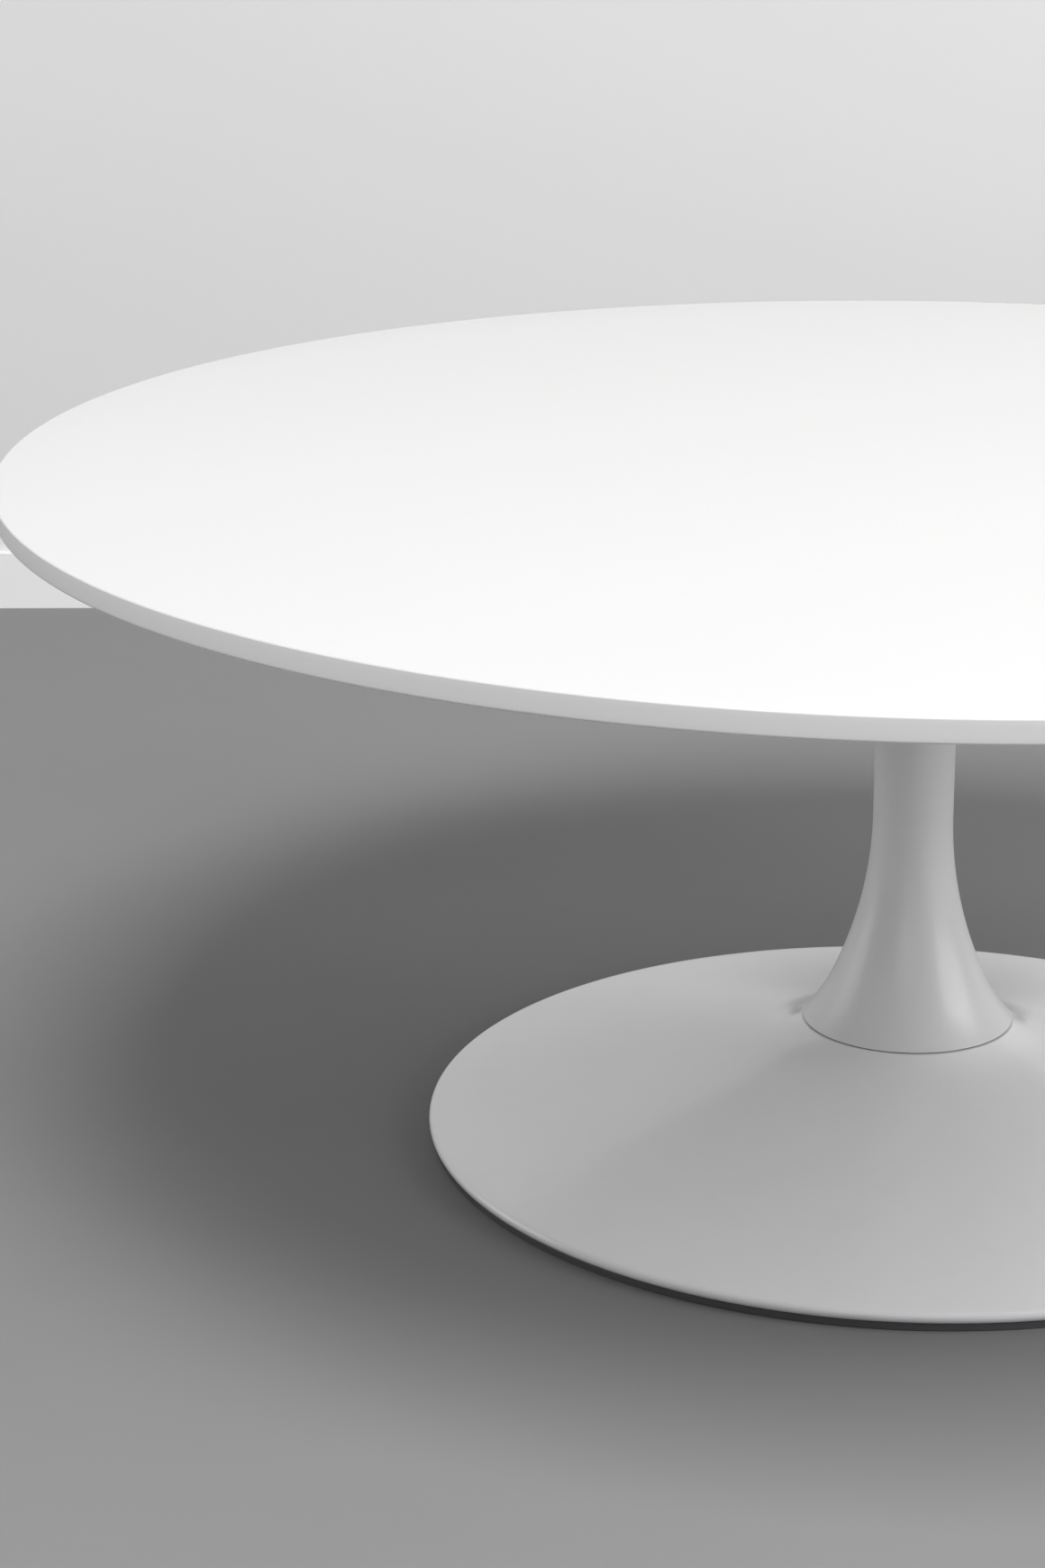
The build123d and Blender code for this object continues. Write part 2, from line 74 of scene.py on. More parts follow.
class Slot(Enum):
    """Material slots of the part's record."""

    TOP = "top_lacquer"
    COLUMN = "column_coating"
    BASE = "base_coating"
    GASKET = "gasket_rubber"
    RING = "ring_plastic"
    ALLOY = "cast_alloy"
    IRON = "cast_iron"
    BALLAST = "ballast_steel"
    TURNED = "turned_steel"
    ZINC = "zinc_steel"
    BRASS = "insert_brass"


class Lay(Enum):
    """Which way a tool's fine marks run on a metal face."""

    ROUND_AXIS = "round the table's axis"
    BRUSHED = "straight across"


# ------------------------------------------------------------------ node trees
class Graph:
    """A shader node tree under construction."""

    def __init__(self, tree: bpy.types.NodeTree) -> None:
        """Keeps the tree.

        Args:
            tree: A material's node tree, or a node group.
        """
        self.tree = tree

    def node(self, kind: str, feeds: dict | None = None, **settings: object) -> bpy.types.Node:
        """Adds a node.

        Args:
            kind: Blender's name for the node's class.
            feeds: What goes into each input, by name or number: a socket or a plain value.
            settings: The node's own properties.

        Returns:
            The new node.
        """
        made = self.tree.nodes.new(kind)
        for name, value in settings.items():
            setattr(made, name, value)
        for name, value in (feeds or {}).items():
            self.feed(made.inputs[name], value)
        return made

    def feed(self, socket: Socket, value: object) -> None:
        """Links a socket or sets its plain value.

        Args:
            socket: The input.
            value: Another node's output, or a number, vector or colour.
        """
        if isinstance(value, Socket):
            self.tree.links.new(value, socket)
        else:
            socket.default_value = value

    def math(self, operation: str, a: object, b: object = 0.0, clamp: bool = False) -> Socket:
        """One sum, by Blender's name, on two values or sockets, kept within 0 and 1 if clamped."""
        return self.node("ShaderNodeMath", {0: a, 1: b}, operation=operation, use_clamp=clamp).outputs[0]

    def place(self) -> Socket:
        """Place on the object, in metres."""
        return self.node("ShaderNodeTexCoord").outputs["Object"]

    def stretched(self, scale: Sequence[float]) -> Socket:
        """Place on the object, scaled by its own factor along X, Y and Z."""
        feeds = {"Vector": self.place(), "Scale": scale}
        return self.node("ShaderNodeMapping", feeds).outputs[0]

    def noise(
        self,
        scale: object,
        detail: float = 2.0,
        rough: float = 0.5,
        place: Socket | None = None,
    ) -> Socket:
        """Soft noise between 0 and 1.

        Args:
            scale: Lumps to the metre, a number or a socket.
            detail: Octaves added to the first.
            rough: Share of each finer octave.
            place: Where to read it, if not on the object as it stands.

        Returns:
            The noise value.
        """
        feeds = {"Vector": place or self.place(), "Scale": scale, "Detail": detail, "Roughness": rough}
        return self.node("ShaderNodeTexNoise", feeds).outputs["Fac"]

    def window(
        self, value: object, low: object, high: object, to_low: object = 0.0, to_high: object = 1.0
    ) -> Socket:
        """Maps a range smoothly onto another and holds it at both ends.

        Args:
            value: What is mapped.
            low: Start of the range.
            high: End of the range.
            to_low: Result at the start.
            to_high: Result at the end.

        Returns:
            The mapped value.
        """
        feeds = {0: value, 1: low, 2: high, 3: to_low, 4: to_high}
        return self.node("ShaderNodeMapRange", feeds, interpolation_type="SMOOTHSTEP").outputs[0]

    def blend(self, factor: object, a: object, b: object) -> Socket:
        """Mixes two colours.

        Args:
            factor: Share of the second.
            a: First colour or socket.
            b: Second colour or socket.

        Returns:
            The mixed colour.
        """
        made = self.node("ShaderNodeMix", data_type="RGBA")
        for index, value in ((0, factor), (6, a), (7, b)):
            full = (*value, 1.0) if isinstance(value, tuple) and len(value) == 3 else value
            self.feed(made.inputs[index], full)
        return made.outputs[2]

    def bump(self, height: Socket, depth: float) -> Socket:
        """Normal of a surface raised by a height of 0 to 1, where 1 stands for depth metres."""
        return self.node("ShaderNodeBump", {"Height": height, "Distance": depth}).outputs[0]

    def effect(self, group: bpy.types.NodeTree, **feeds: object) -> bpy.types.Node:
        """Places a shared effect's node group and feeds its inputs by name."""
        return self.node("ShaderNodeGroup", feeds, node_tree=group)


def blank_material(name: str) -> tuple[bpy.types.Material, Graph]:
    """Makes a material with an empty node tree.

    Args:
        name: The material's name.

    Returns:
        The material, and its graph.
    """
    made = bpy.data.materials.new(name)
    made.use_nodes = True
    made.node_tree.nodes.clear()
    return made, Graph(made.node_tree)


class Effects:
    """The surface effects that several finishes share, each a node group built once."""

    def __init__(self) -> None:
        """Builds every group."""
        self.peel = self._group("coating_peel", {"Scale": 600.0}, ("Height",), self._peel)
        self.tone = self._group("slow_tone", {"Scale": 6.0, "Spread": 0.1}, ("Shade",), self._tone)
        self.rub = self._group("edge_rub", {"Width": 0.001, "Breakup": 90.0}, ("Mask",), self._rub)
        self.dust = self._group("settled_dust", {"Scale": 40.0, "Reach": 0.05}, ("Mask",), self._dust)
        self.scratch = self._group("fine_scratches", {"Scale": 40.0, "Share": 0.1}, ("Mask",), self._scratch)
        self.marks = self._group("tool_marks", {"Pitch": 0.0005}, ("Height",), self._marks)
        self.grit = self._group("cast_grit", {"Scale": 500.0}, ("Height", "Shade"), self._grit)

    def _group(
        self,
        name: str,
        inputs: dict[str, float],
        outputs: Iterable[str],
        fill: Callable[[Graph, dict], dict],
    ) -> bpy.types.NodeTree:
        """Makes one node group.

        Args:
            name: The group's name.
            inputs: Each input's name and usual value.
            outputs: Names of the outputs.
            fill: Builds the inside: takes the graph and the inputs' sockets, gives the outputs'.

        Returns:
            The group.
        """
        tree = bpy.data.node_groups.new(name, "ShaderNodeTree")
        for label, usual in inputs.items():
            socket = tree.interface.new_socket(label, in_out="INPUT", socket_type="NodeSocketFloat")
            socket.default_value = usual
        for label in outputs:
            tree.interface.new_socket(label, in_out="OUTPUT", socket_type="NodeSocketFloat")
        graph = Graph(tree)
        entry = graph.node("NodeGroupInput")
        made = fill(graph, {label: entry.outputs[label] for label in inputs})
        graph.node("NodeGroupOutput", made)
        return tree

    def _peel(self, graph: Graph, given: dict) -> dict:
        """Soft dimples of a sprayed or baked coating, with a finer grain on them.

        Args:
            graph: The group's graph.
            given: The group's inputs by name.

        Returns:
            The group's outputs by name.
        """
        broad = graph.noise(given["Scale"], 1.0, 0.4)
        fine = graph.noise(graph.math("MULTIPLY", given["Scale"], 4.3), 2.0, 0.6)
        broad, fine = graph.math("MULTIPLY", broad, 0.75), graph.math("MULTIPLY", fine, 0.25)
        return {"Height": graph.math("ADD", broad, fine)}

    def _tone(self, graph: Graph, given: dict) -> dict:
        """Slow change of shade about one half.

        Args:
            graph: The group's graph.
            given: The group's inputs by name.

        Returns:
            The group's outputs by name.
        """
        lumps = graph.noise(given["Scale"], 3.0, 0.55)
        swing = graph.math("MULTIPLY", graph.math("SUBTRACT", lumps, 0.5), given["Spread"])
        return {"Shade": graph.math("ADD", swing, 0.5, clamp=True)}

    def _rub(self, graph: Graph, given: dict) -> dict:
        """Where an edge stands proud, broken up as wear is.

        Args:
            graph: The group's graph.
            given: The group's inputs by name.

        Returns:
            The group's outputs by name.
        """
        soft = graph.node("ShaderNodeBevel", {"Radius": given["Width"]}, samples=4).outputs[0]
        true = graph.node("ShaderNodeNewGeometry").outputs["Normal"]
        alike = graph.node("ShaderNodeVectorMath", {0: soft, 1: true}, operation="DOT_PRODUCT")
        edge = graph.window(alike.outputs["Value"], 0.995, 0.9)
        broken = graph.window(graph.noise(given["Breakup"], 4.0, 0.6), 0.42, 0.68)
        return {"Mask": graph.math("MULTIPLY", edge, broken, clamp=True)}

    def _dust(self, graph: Graph, given: dict) -> dict:
        """Dust on what faces up, thicker near the floor.

        Args:
            graph: The group's graph.
            given: The group's inputs by name.

        Returns:
            The group's outputs by name.
        """
        shape = graph.node("ShaderNodeNewGeometry")
        up = graph.node("ShaderNodeSeparateXYZ", {0: shape.outputs["Normal"]}).outputs["Z"]
        high = graph.node("ShaderNodeSeparateXYZ", {0: shape.outputs["Position"]}).outputs["Z"]
        lies = graph.window(up, 0.2, 0.95)
        low = graph.window(high, given["Reach"], 0.0, 0.35, 1.0)
        specks = graph.window(graph.noise(given["Scale"], 6.0, 0.7), 0.45, 0.75)
        return {"Mask": graph.math("MULTIPLY", graph.math("MULTIPLY", lies, low), specks, clamp=True)}

    def _scratch(self, graph: Graph, given: dict) -> dict:
        """Hair-fine scratches that run several ways and come and go.

        Args:
            graph: The group's graph.
            given: The group's inputs by name.

        Returns:
            The group's outputs by name.
        """
        place = graph.place()
        total: object = 0.0
        for turn, stretch in ((0.4, 0.06), (2.2, 0.05)):
            feeds = {"Vector": place, "Rotation": (0.0, 0.0, turn), "Scale": (1.0, stretch, 1.0)}
            run = graph.node("ShaderNodeMapping", feeds).outputs[0]
            hair = graph.noise(graph.math("MULTIPLY", given["Scale"], 12.0), 0.0, 0.5, run)
            line = graph.window(graph.math("ABSOLUTE", graph.math("SUBTRACT", hair, 0.5)), 0.006, 0.0)
            total = graph.math("MAXIMUM", total, line)
        here = graph.window(graph.noise(given["Scale"], 2.0, 0.5), 0.55, 0.75)
        total = graph.math("MULTIPLY", total, here)
        return {"Mask": graph.math("MULTIPLY", total, given["Share"], clamp=True)}

    def _marks(self, graph: Graph, given: dict) -> dict:
        """Fine rings that a lathe tool leaves, round the table's axis.

        Args:
            graph: The group's graph.
            given: The group's inputs by name.

        Returns:
            The group's outputs by name.
        """
        split = graph.node("ShaderNodeSeparateXYZ", {0: graph.place()})
        across = graph.math("POWER", split.outputs["X"], 2.0)
        along = graph.math("POWER", split.outputs["Y"], 2.0)
        radius = graph.math("SQRT", graph.math("ADD", across, along))
        travel = graph.math("ADD", radius, split.outputs["Z"])
        turns = graph.math("DIVIDE", travel, given["Pitch"])
        wave = graph.math("SINE", graph.math("MULTIPLY", turns, math.tau))
        uneven = graph.noise(260.0, 2.0, 0.5)
        return {"Height": graph.math("ADD", graph.math("MULTIPLY", wave, 0.35), uneven)}

    def _grit(self, graph: Graph, given: dict) -> dict:
        """Sand-cast skin: grains, and darker pits between them.

        Args:
            graph: The group's graph.
            given: The group's inputs by name.

        Returns:
            The group's outputs by name.
        """
        lumps = graph.noise(given["Scale"], 4.0, 0.65)
        feeds = {"Vector": graph.place(), "Scale": given["Scale"]}
        pits = graph.node("ShaderNodeTexVoronoi", feeds).outputs["Distance"]
        height = graph.math("ADD", graph.math("MULTIPLY", lumps, 0.7), graph.math("MULTIPLY", pits, 0.3))
        return {"Height": height, "Shade": graph.window(height, 0.25, 0.75)}


# ------------------------------------------------------------------ finishes
@dataclass(frozen=True)
class Finish:
    """What every finish has: a name, a slot of the record and its plain colour and gloss."""

    name: str
    slot: Slot
    colour: Colour
    roughness: float
    specular: float = 0.5

    def material(self, effects: Effects) -> bpy.types.Material:
        """Builds the material.

        Args:
            effects: The shared node groups.

        Returns:
            The finished material.
        """
        made, graph = blank_material(self.name)
        shader = graph.node("ShaderNodeBsdfPrincipled")
        shader.inputs["Specular IOR Level"].default_value = self.specular
        graph.node("ShaderNodeOutputMaterial", {"Surface": shader.outputs[0]})
        self.dress(graph, shader.inputs, effects)
        return made

    def dress(self, graph: Graph, into: object, effects: Effects) -> None:
        """Feeds the shader's sockets; each kind of finish has its own.

        Args:
            graph: The material's graph.
            into: The shader's inputs.
            effects: The shared node groups.
        """
        raise NotImplementedError

    def varied(self, graph: Graph, spread: float, scale: float, effects: Effects) -> Socket:
        """Roughness that changes slowly over the surface.

        Args:
            graph: The material's graph.
            spread: How far it swings each way.
            scale: Lumps to the metre.
            effects: The shared node groups.

        Returns:
            The roughness.
        """
        shade = graph.effect(effects.tone, Scale=scale, Spread=1.6).outputs["Shade"]
        low, high = self.roughness - spread, self.roughness + spread
        return graph.window(shade, 0.0, 1.0, low, high)


@dataclass(frozen=True)
class Coating(Finish):
    """A sprayed lacquer or a baked powder coat."""

    peel_scale: float = 700.0
    peel_depth: float = 0.00001
    tone_scale: float = 5.0
    tone_share: float = 0.05
    gloss_spread: float = 0.04
    rubbed: Colour = (0.7, 0.7, 0.69)
    rub_width: float = 0.001
    rub_share: float = 0.3
    dust: Colour = (0.5, 0.48, 0.45)
    dust_share: float = 0.1
    dust_reach: float = 0.06
    scratch_share: float = 0.15
    coat: float = 0.0
    coat_roughness: float = 0.2

    def ground(self, graph: Graph, effects: Effects) -> Socket:
        """The plain colour with its slow change of tone.

        Args:
            graph: The material's graph.
            effects: The shared node groups.

        Returns:
            The colour.
        """
        tone = graph.effect(effects.tone, Scale=self.tone_scale, Spread=1.0).outputs["Shade"]
        darker = tuple(c * (1.0 - self.tone_share) for c in self.colour)
        return graph.blend(tone, darker, self.colour)

    def dress(self, graph: Graph, into: object, effects: Effects) -> None:
        """Colour with slow tone, rubbed edges and dust; peel and scratches in the relief.

        Args:
            graph: The material's graph.
            into: The shader's inputs.
            effects: The shared node groups.
        """
        ground = self.ground(graph, effects)
        rub = graph.effect(effects.rub, Width=self.rub_width).outputs["Mask"]
        rub = graph.math("MULTIPLY", rub, self.rub_share)
        worn = graph.blend(rub, ground, self.rubbed)
        dust = graph.effect(effects.dust, Reach=self.dust_reach).outputs["Mask"]
        dust = graph.math("MULTIPLY", dust, self.dust_share)
        graph.feed(into["Base Color"], graph.blend(dust, worn, self.dust))
        scratch = graph.effect(effects.scratch, Share=self.scratch_share).outputs["Mask"]
        gloss = self.varied(graph, self.gloss_spread, self.tone_scale * 2.0, effects)
        dulled = graph.math("ADD", gloss, graph.math("MULTIPLY", dust, 0.5))
        dulled = graph.math("ADD", dulled, graph.math("MULTIPLY", scratch, 0.25), clamp=True)
        graph.feed(into["Roughness"], dulled)
        peel = graph.effect(effects.peel, Scale=self.peel_scale).outputs["Height"]
        relief = graph.math("SUBTRACT", peel, graph.math("MULTIPLY", scratch, 0.6))
        graph.feed(into["Normal"], graph.bump(relief, self.peel_depth))
        into["Coat Weight"].default_value = self.coat
        into["Coat Roughness"].default_value = self.coat_roughness


@dataclass(frozen=True)
class PanelLacquer(Coating):
    """Lacquer with a darker value on the level face, which the stage's lights would else clip.

    The two values suit the stage's lights. They don't mean a panel whose face is another white.
    """

    face: Colour = (0.7, 0.7, 0.7)

    def ground(self, graph: Graph, effects: Effects) -> Socket:
        """The edge's colour, and the face's where the panel lies level.

        Args:
            graph: The material's graph.
            effects: The shared node groups.

        Returns:
            The colour.
        """
        normal = graph.node("ShaderNodeNewGeometry").outputs["Normal"]
        up = graph.node("ShaderNodeSeparateXYZ", {0: normal}).outputs["Z"]
        return graph.blend(graph.window(up, 0.6, 0.95), super().ground(graph, effects), self.face)


@dataclass(frozen=True)
class Moulded(Finish):
    """Moulded plastic or rubber."""

    grain_scale: float = 1500.0
    grain_depth: float = 0.00002
    scuffed: Colour = (0.09, 0.09, 0.09)
    scuff_share: float = 0.4
    dust: Colour = (0.3, 0.29, 0.27)
    dust_share: float = 0.25

    def dress(self, graph: Graph, into: object, effects: Effects) -> None:
        """Plain ground with paler scuffs on the edges and a spark-eroded grain.

        Args:
            graph: The material's graph.
            into: The shader's inputs.
            effects: The shared node groups.
        """
        rub = graph.effect(effects.rub, Width=0.0006, Breakup=160.0).outputs["Mask"]
        worn = graph.blend(graph.math("MULTIPLY", rub, self.scuff_share), self.colour, self.scuffed)
        dust = graph.effect(effects.dust, Scale=90.0, Reach=0.02).outputs["Mask"]
        dusty = graph.blend(graph.math("MULTIPLY", dust, self.dust_share), worn, self.dust)
        graph.feed(into["Base Color"], dusty)
        graph.feed(into["Roughness"], self.varied(graph, 0.08, 25.0, effects))
        grain = graph.effect(effects.peel, Scale=self.grain_scale).outputs["Height"]
        graph.feed(into["Normal"], graph.bump(grain, self.grain_depth))


@dataclass(frozen=True)
class Cast(Finish):
    """A sand-cast piece under a thin primer or left bare."""

    metallic: float = 0.0
    grit_scale: float = 420.0
    grit_depth: float = 0.00025
    pitted: Colour = (0.2, 0.2, 0.2)
    bright: Colour = (0.7, 0.7, 0.7)

    def dress(self, graph: Graph, into: object, effects: Effects) -> None:
        """Grains and pits, with fettled edges a little brighter.

        Args:
            graph: The material's graph.
            into: The shader's inputs.
            effects: The shared node groups.
        """
        grit = graph.effect(effects.grit, Scale=self.grit_scale)
        ground = graph.blend(grit.outputs["Shade"], self.pitted, self.colour)
        rub = graph.effect(effects.rub, Width=0.0012, Breakup=70.0).outputs["Mask"]
        graph.feed(into["Base Color"], graph.blend(graph.math("MULTIPLY", rub, 0.6), ground, self.bright))
        graph.feed(into["Roughness"], self.varied(graph, 0.1, 14.0, effects))
        graph.feed(into["Normal"], graph.bump(grit.outputs["Height"], self.grit_depth))
        into["Metallic"].default_value = self.metallic


@dataclass(frozen=True)
class BareMetal(Finish):
    """Turned, plated or rolled metal."""

    lay: Lay = Lay.ROUND_AXIS
    pitch: float = 0.0004
    mark_depth: float = 0.000008
    stained: Colour = (0.35, 0.34, 0.33)
    stain_share: float = 0.35

    def dress(self, graph: Graph, into: object, effects: Effects) -> None:
        """Metal with slow staining and the marks of its tool.

        Args:
            graph: The material's graph.
            into: The shader's inputs.
            effects: The shared node groups.
        """
        tone = graph.effect(effects.tone, Scale=30.0, Spread=1.8).outputs["Shade"]
        stain = graph.window(tone, 0.45, 0.8, 0.0, self.stain_share)
        graph.feed(into["Base Color"], graph.blend(stain, self.colour, self.stained))
        graph.feed(into["Roughness"], self.varied(graph, 0.08, 45.0, effects))
        if self.lay is Lay.ROUND_AXIS:
            height = graph.effect(effects.marks, Pitch=self.pitch).outputs["Height"]
        else:
            height = graph.noise(900.0, 3.0, 0.6, graph.stretched((1.0, 0.05, 1.0)))
        graph.feed(into["Normal"], graph.bump(height, self.mark_depth))
        into["Metallic"].default_value = 1.0


# The whites of top, column and base differ only to suit the stage's lights. They aren't a
# reading of the finishes, which may well be one white.
TOP_LACQUER = PanelLacquer(
    "top_white_lacquer",
    Slot.TOP,
    (0.76, 0.76, 0.758),
    0.5,
    specular=0.2,
    face=(0.611, 0.611, 0.609),
    peel_scale=900.0,
    peel_depth=0.000006,
    tone_scale=3.0,
    tone_share=0.012,
    rubbed=(0.78, 0.77, 0.75),
    rub_width=0.0012,
    rub_share=0.35,
    dust_share=0.0,
    scratch_share=0.2,
)
COLUMN_COATING = Coating(
    "column_white_powder_coat",
    Slot.COLUMN,
    (0.82, 0.82, 0.83),
    0.4,
    peel_scale=520.0,
    peel_depth=0.000012,
    tone_share=0.01,
    rubbed=(0.66, 0.66, 0.66),
    dust_share=0.03,
    coat=0.18,
    coat_roughness=0.12,
)
BASE_COATING = Coating(
    "base_white_powder_coat",
    Slot.BASE,
    (0.9, 0.9, 0.915),
    0.4,
    peel_scale=480.0,
    peel_depth=0.000012,
    tone_share=0.01,
    rubbed=(0.66, 0.66, 0.66),
    rub_share=0.3,
    dust_share=0.04,
    dust_reach=0.07,
    scratch_share=0.15,
    coat=0.7,
    coat_roughness=0.15,
)
GASKET_RUBBER = Moulded(
    "gasket_grey_rubber", Slot.GASKET, (0.18, 0.18, 0.178), 0.7, specular=0.3, scuffed=(0.25, 0.25, 0.25)
)
RING_PLASTIC = Moulded(
    "ring_dark_plastic", Slot.RING, (0.09, 0.09, 0.095), 0.55, specular=0.4, scuffed=(0.16, 0.16, 0.16)
)
CAST_ALLOY = Cast(
    "spider_cast_alloy",
    Slot.ALLOY,
    (0.5, 0.5, 0.51),
    0.5,
    metallic=0.6,
    pitted=(0.3, 0.3, 0.31),
    bright=(0.75, 0.75, 0.76),
)
CAST_IRON = Cast(
    "hub_cast_iron",
    Slot.IRON,
    (0.12, 0.12, 0.125),
    0.62,
    pitted=(0.06, 0.06, 0.062),
    bright=(0.3, 0.3, 0.3),
)
BALLAST_PRIMER = Coating(
    "ballast_dark_primer",
    Slot.BALLAST,
    (0.06, 0.06, 0.065),
    0.6,
    peel_scale=300.0,
    peel_depth=0.00005,
    tone_share=0.35,
    gloss_spread=0.1,
    rubbed=(0.25, 0.24, 0.23),
    rub_share=0.7,
)
TURNED_STEEL = BareMetal("turned_oiled_steel", Slot.TURNED, (0.5, 0.5, 0.5), 0.35, pitch=0.00035)
ZINC_PLATE = BareMetal(
    "zinc_plated_steel",
    Slot.ZINC,
    (0.68, 0.69, 0.7),
    0.38,
    lay=Lay.BRUSHED,
    stained=(0.5, 0.5, 0.47),
)
INSERT_BRASS = BareMetal(
    "turned_brass", Slot.BRASS, (0.72, 0.56, 0.27), 0.3, pitch=0.0003, stained=(0.45, 0.32, 0.16)
)


class Workshop:
    """Makes each finish once and hands it out."""

    def __init__(self) -> None:
        """Builds the shared effects."""
        self.effects = Effects()
        self.made: dict[str, bpy.types.Material] = {}

    def material(self, finish: Finish) -> bpy.types.Material:
        """The material of a finish, made at its first use.

        Args:
            finish: The finish asked for.

        Returns:
            Its material.
        """
        if finish.name not in self.made:
            self.made[finish.name] = finish.material(self.effects)
        return self.made[finish.name]

    def dress_node(self, node: str, finish: Finish) -> None:
        """Puts a finish on a solid that keeps its own shape.

        Args:
            node: The solid's name.
            finish: What covers it.
        """
        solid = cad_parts[node]
        solid.data.materials.clear()
        solid.data.materials.append(self.material(finish))
        LOG.info("%s keeps its solid, in %s", node, finish.name)

    def dress_piece(self, piece: bpy.types.Object, finish: Finish, *nodes: str) -> None:
        """Finishes a new piece and puts it in place of its solids.

        Args:
            piece: The new piece.
            finish: What covers it.
            nodes: The solids that it stands for.
        """
        piece.data.materials.clear()
        piece.data.materials.append(self.material(finish))
        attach(piece, BODY)
        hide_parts(*nodes)
        LOG.info("%s stands for %s, %d faces", piece.name, ", ".join(nodes), len(piece.data.polygons))


# ------------------------------------------------------------------ turned shapes
def outward(slope: float) -> Vector:
    """Unit normal, in the half section, of a surface that falls outward by slope degrees."""
    return Vector((math.sin(math.radians(slope)), math.cos(math.radians(slope))))


class Outline:
    """A half section drawn as a walk down and outward."""

    def __init__(self, start: Vector | Point, slope: float) -> None:
        """Starts the walk.

        Args:
            start: Radius and height of the first point.
            slope: Degrees below the level at which the walk sets off.
        """
        self.points: list[Vector] = [Vector(start)]
        self.slope = slope

    def to(self, place: Vector | Point, steps: int = 1) -> Outline:
        """Walks straight to a point.

        Args:
            place: Where the run ends.
            steps: Pieces that the run is cut into.

        Returns:
            The outline itself.
        """
        start, end = self.points[-1], Vector(place)
        self.points += [start.lerp(end, (i + 1) / steps) for i in range(steps)]
        return self

    def hollow(self, radius: float, slope: float, steps: int) -> Outline:
        """Walks round an arc that gets less steep, down to the slope given."""
        return self._arc(radius, slope, steps, 1.0)

    def crown(self, radius: float, slope: float, steps: int) -> Outline:
        """Walks round an arc that gets steeper, up to the slope given."""
        return self._arc(radius, slope, steps, -1.0)

    def _arc(self, radius: float, slope: float, steps: int, side: float) -> Outline:
        """Walks round an arc.

        Args:
            radius: The arc's radius.
            slope: Slope at its end.
            steps: Pieces that the arc is cut into.
            side: 1 with the centre outside the surface, -1 with it inside.

        Returns:
            The outline itself.
        """
        centre = self.points[-1] + outward(self.slope) * radius * side
        turn = slope - self.slope
        for i in range(steps):
            here = outward(self.slope + turn * (i + 1) / steps)
            self.points.append(centre - here * radius * side)
        self.slope = slope
        return self


def turned(name: str, section: Sequence[Vector | Point], segments: int) -> bpy.types.Object:
    """Turns a closed half section about the table's axis.

    Args:
        name: Name of the new object.
        section: Points of radius and height, in order round the section.
        segments: Faces round the axis.

    Returns:
        The new object, smooth apart from its sharp edges.
    """
    shape = bmesh.new()
    angles = [math.tau * i / segments for i in range(segments)]
    rings: list[list[bmesh.types.BMVert]] = []
    for radius, height in section:
        if radius < ON_AXIS:
            rings.append([shape.verts.new((0.0, 0.0, height))])
        else:
            spots = [(radius * math.cos(a), radius * math.sin(a), height) for a in angles]
            rings.append([shape.verts.new(spot) for spot in spots])
    for one, two in zip(rings, rings[1:] + rings[:1]):
        if len(one) == 1 and len(two) == 1:
            continue
        for i in range(segments):
            j = (i + 1) % segments
            corners = [one[i % len(one)], one[j % len(one)], two[j % len(two)], two[i % len(two)]]
            shape.faces.new(list(dict.fromkeys(corners)))
    return finished(name, shape)


def linked(name: str, data: bpy.types.ID) -> bpy.types.Object:
    """Puts data in the scene as a new object.

    Args:
        name: The object's name.
        data: Its mesh, light or camera.

    Returns:
        The new object.
    """
    made = bpy.data.objects.new(name, data)
    bpy.context.scene.collection.objects.link(made)
    return made


def finished(name: str, shape: bmesh.types.BMesh, sharp: float = CRISP_ANGLE) -> bpy.types.Object:
    """Turns bmesh work into an object in the scene.

    Args:
        name: Name of the new object.
        shape: The mesh so far; it is freed.
        sharp: Angle between faces, in degrees, above which an edge stays crisp.

    Returns:
        The new object.
    """
    bmesh.ops.recalc_face_normals(shape, faces=shape.faces)
    mesh = bpy.data.meshes.new(name)
    shape.to_mesh(mesh)
    shape.free()
    mesh.shade_smooth()
    mesh.set_sharp_from_angle(angle=math.radians(sharp))
    return linked(name, mesh)


def drilled(piece: bpy.types.Object, drills: Sequence[Drill], low: float, high: float) -> None:
    """Cuts round holes along Z.

    Args:
        piece: What is drilled.
        drills: Each hole's X, Y, lower radius and upper radius.
        low: Height where the holes start.
        high: Height where they end.
    """
    shape = bmesh.new()
    for x, y, radius, top_radius in drills:
        bmesh.ops.create_cone(
            shape,
            cap_ends=True,
            segments=DRILL_FACETS,
            radius1=radius,
            radius2=top_radius,
            depth=high - low,
            matrix=Matrix.Translation((x, y, (low + high) / 2)),
        )
    cutter = finished("drill", shape)
    cut = piece.modifiers.new("drill", "BOOLEAN")
    cut.operation, cut.solver, cut.object = "DIFFERENCE", "EXACT", cutter
    bpy.context.view_layer.update()
    result = bpy.data.meshes.new_from_object(piece.evaluated_get(bpy.context.evaluated_depsgraph_get()))
    result.set_sharp_from_angle(angle=math.radians(CRISP_ANGLE))
    piece.modifiers.clear()
    piece.data = result
    result.name = piece.name
    bpy.data.objects.remove(cutter)


def round_circle(count: int, circle: float, start: float = 0.0) -> list[Point]:
    """Evenly spread places round the axis.

    Args:
        count: How many.
        circle: Radius of their circle.
        start: Where the first lies, in degrees.

    Returns:
        Their X and Y.
    """
    spots = [math.radians(start + 360.0 * i / count) for i in range(count)]
    return [(circle * math.cos(a), circle * math.sin(a)) for a in spots]


def straight(spots: Iterable[Point], radius: float) -> list[Drill]:
    """Drills of one radius from end to end, at the places given."""
    return [(x, y, radius, radius) for x, y in spots]


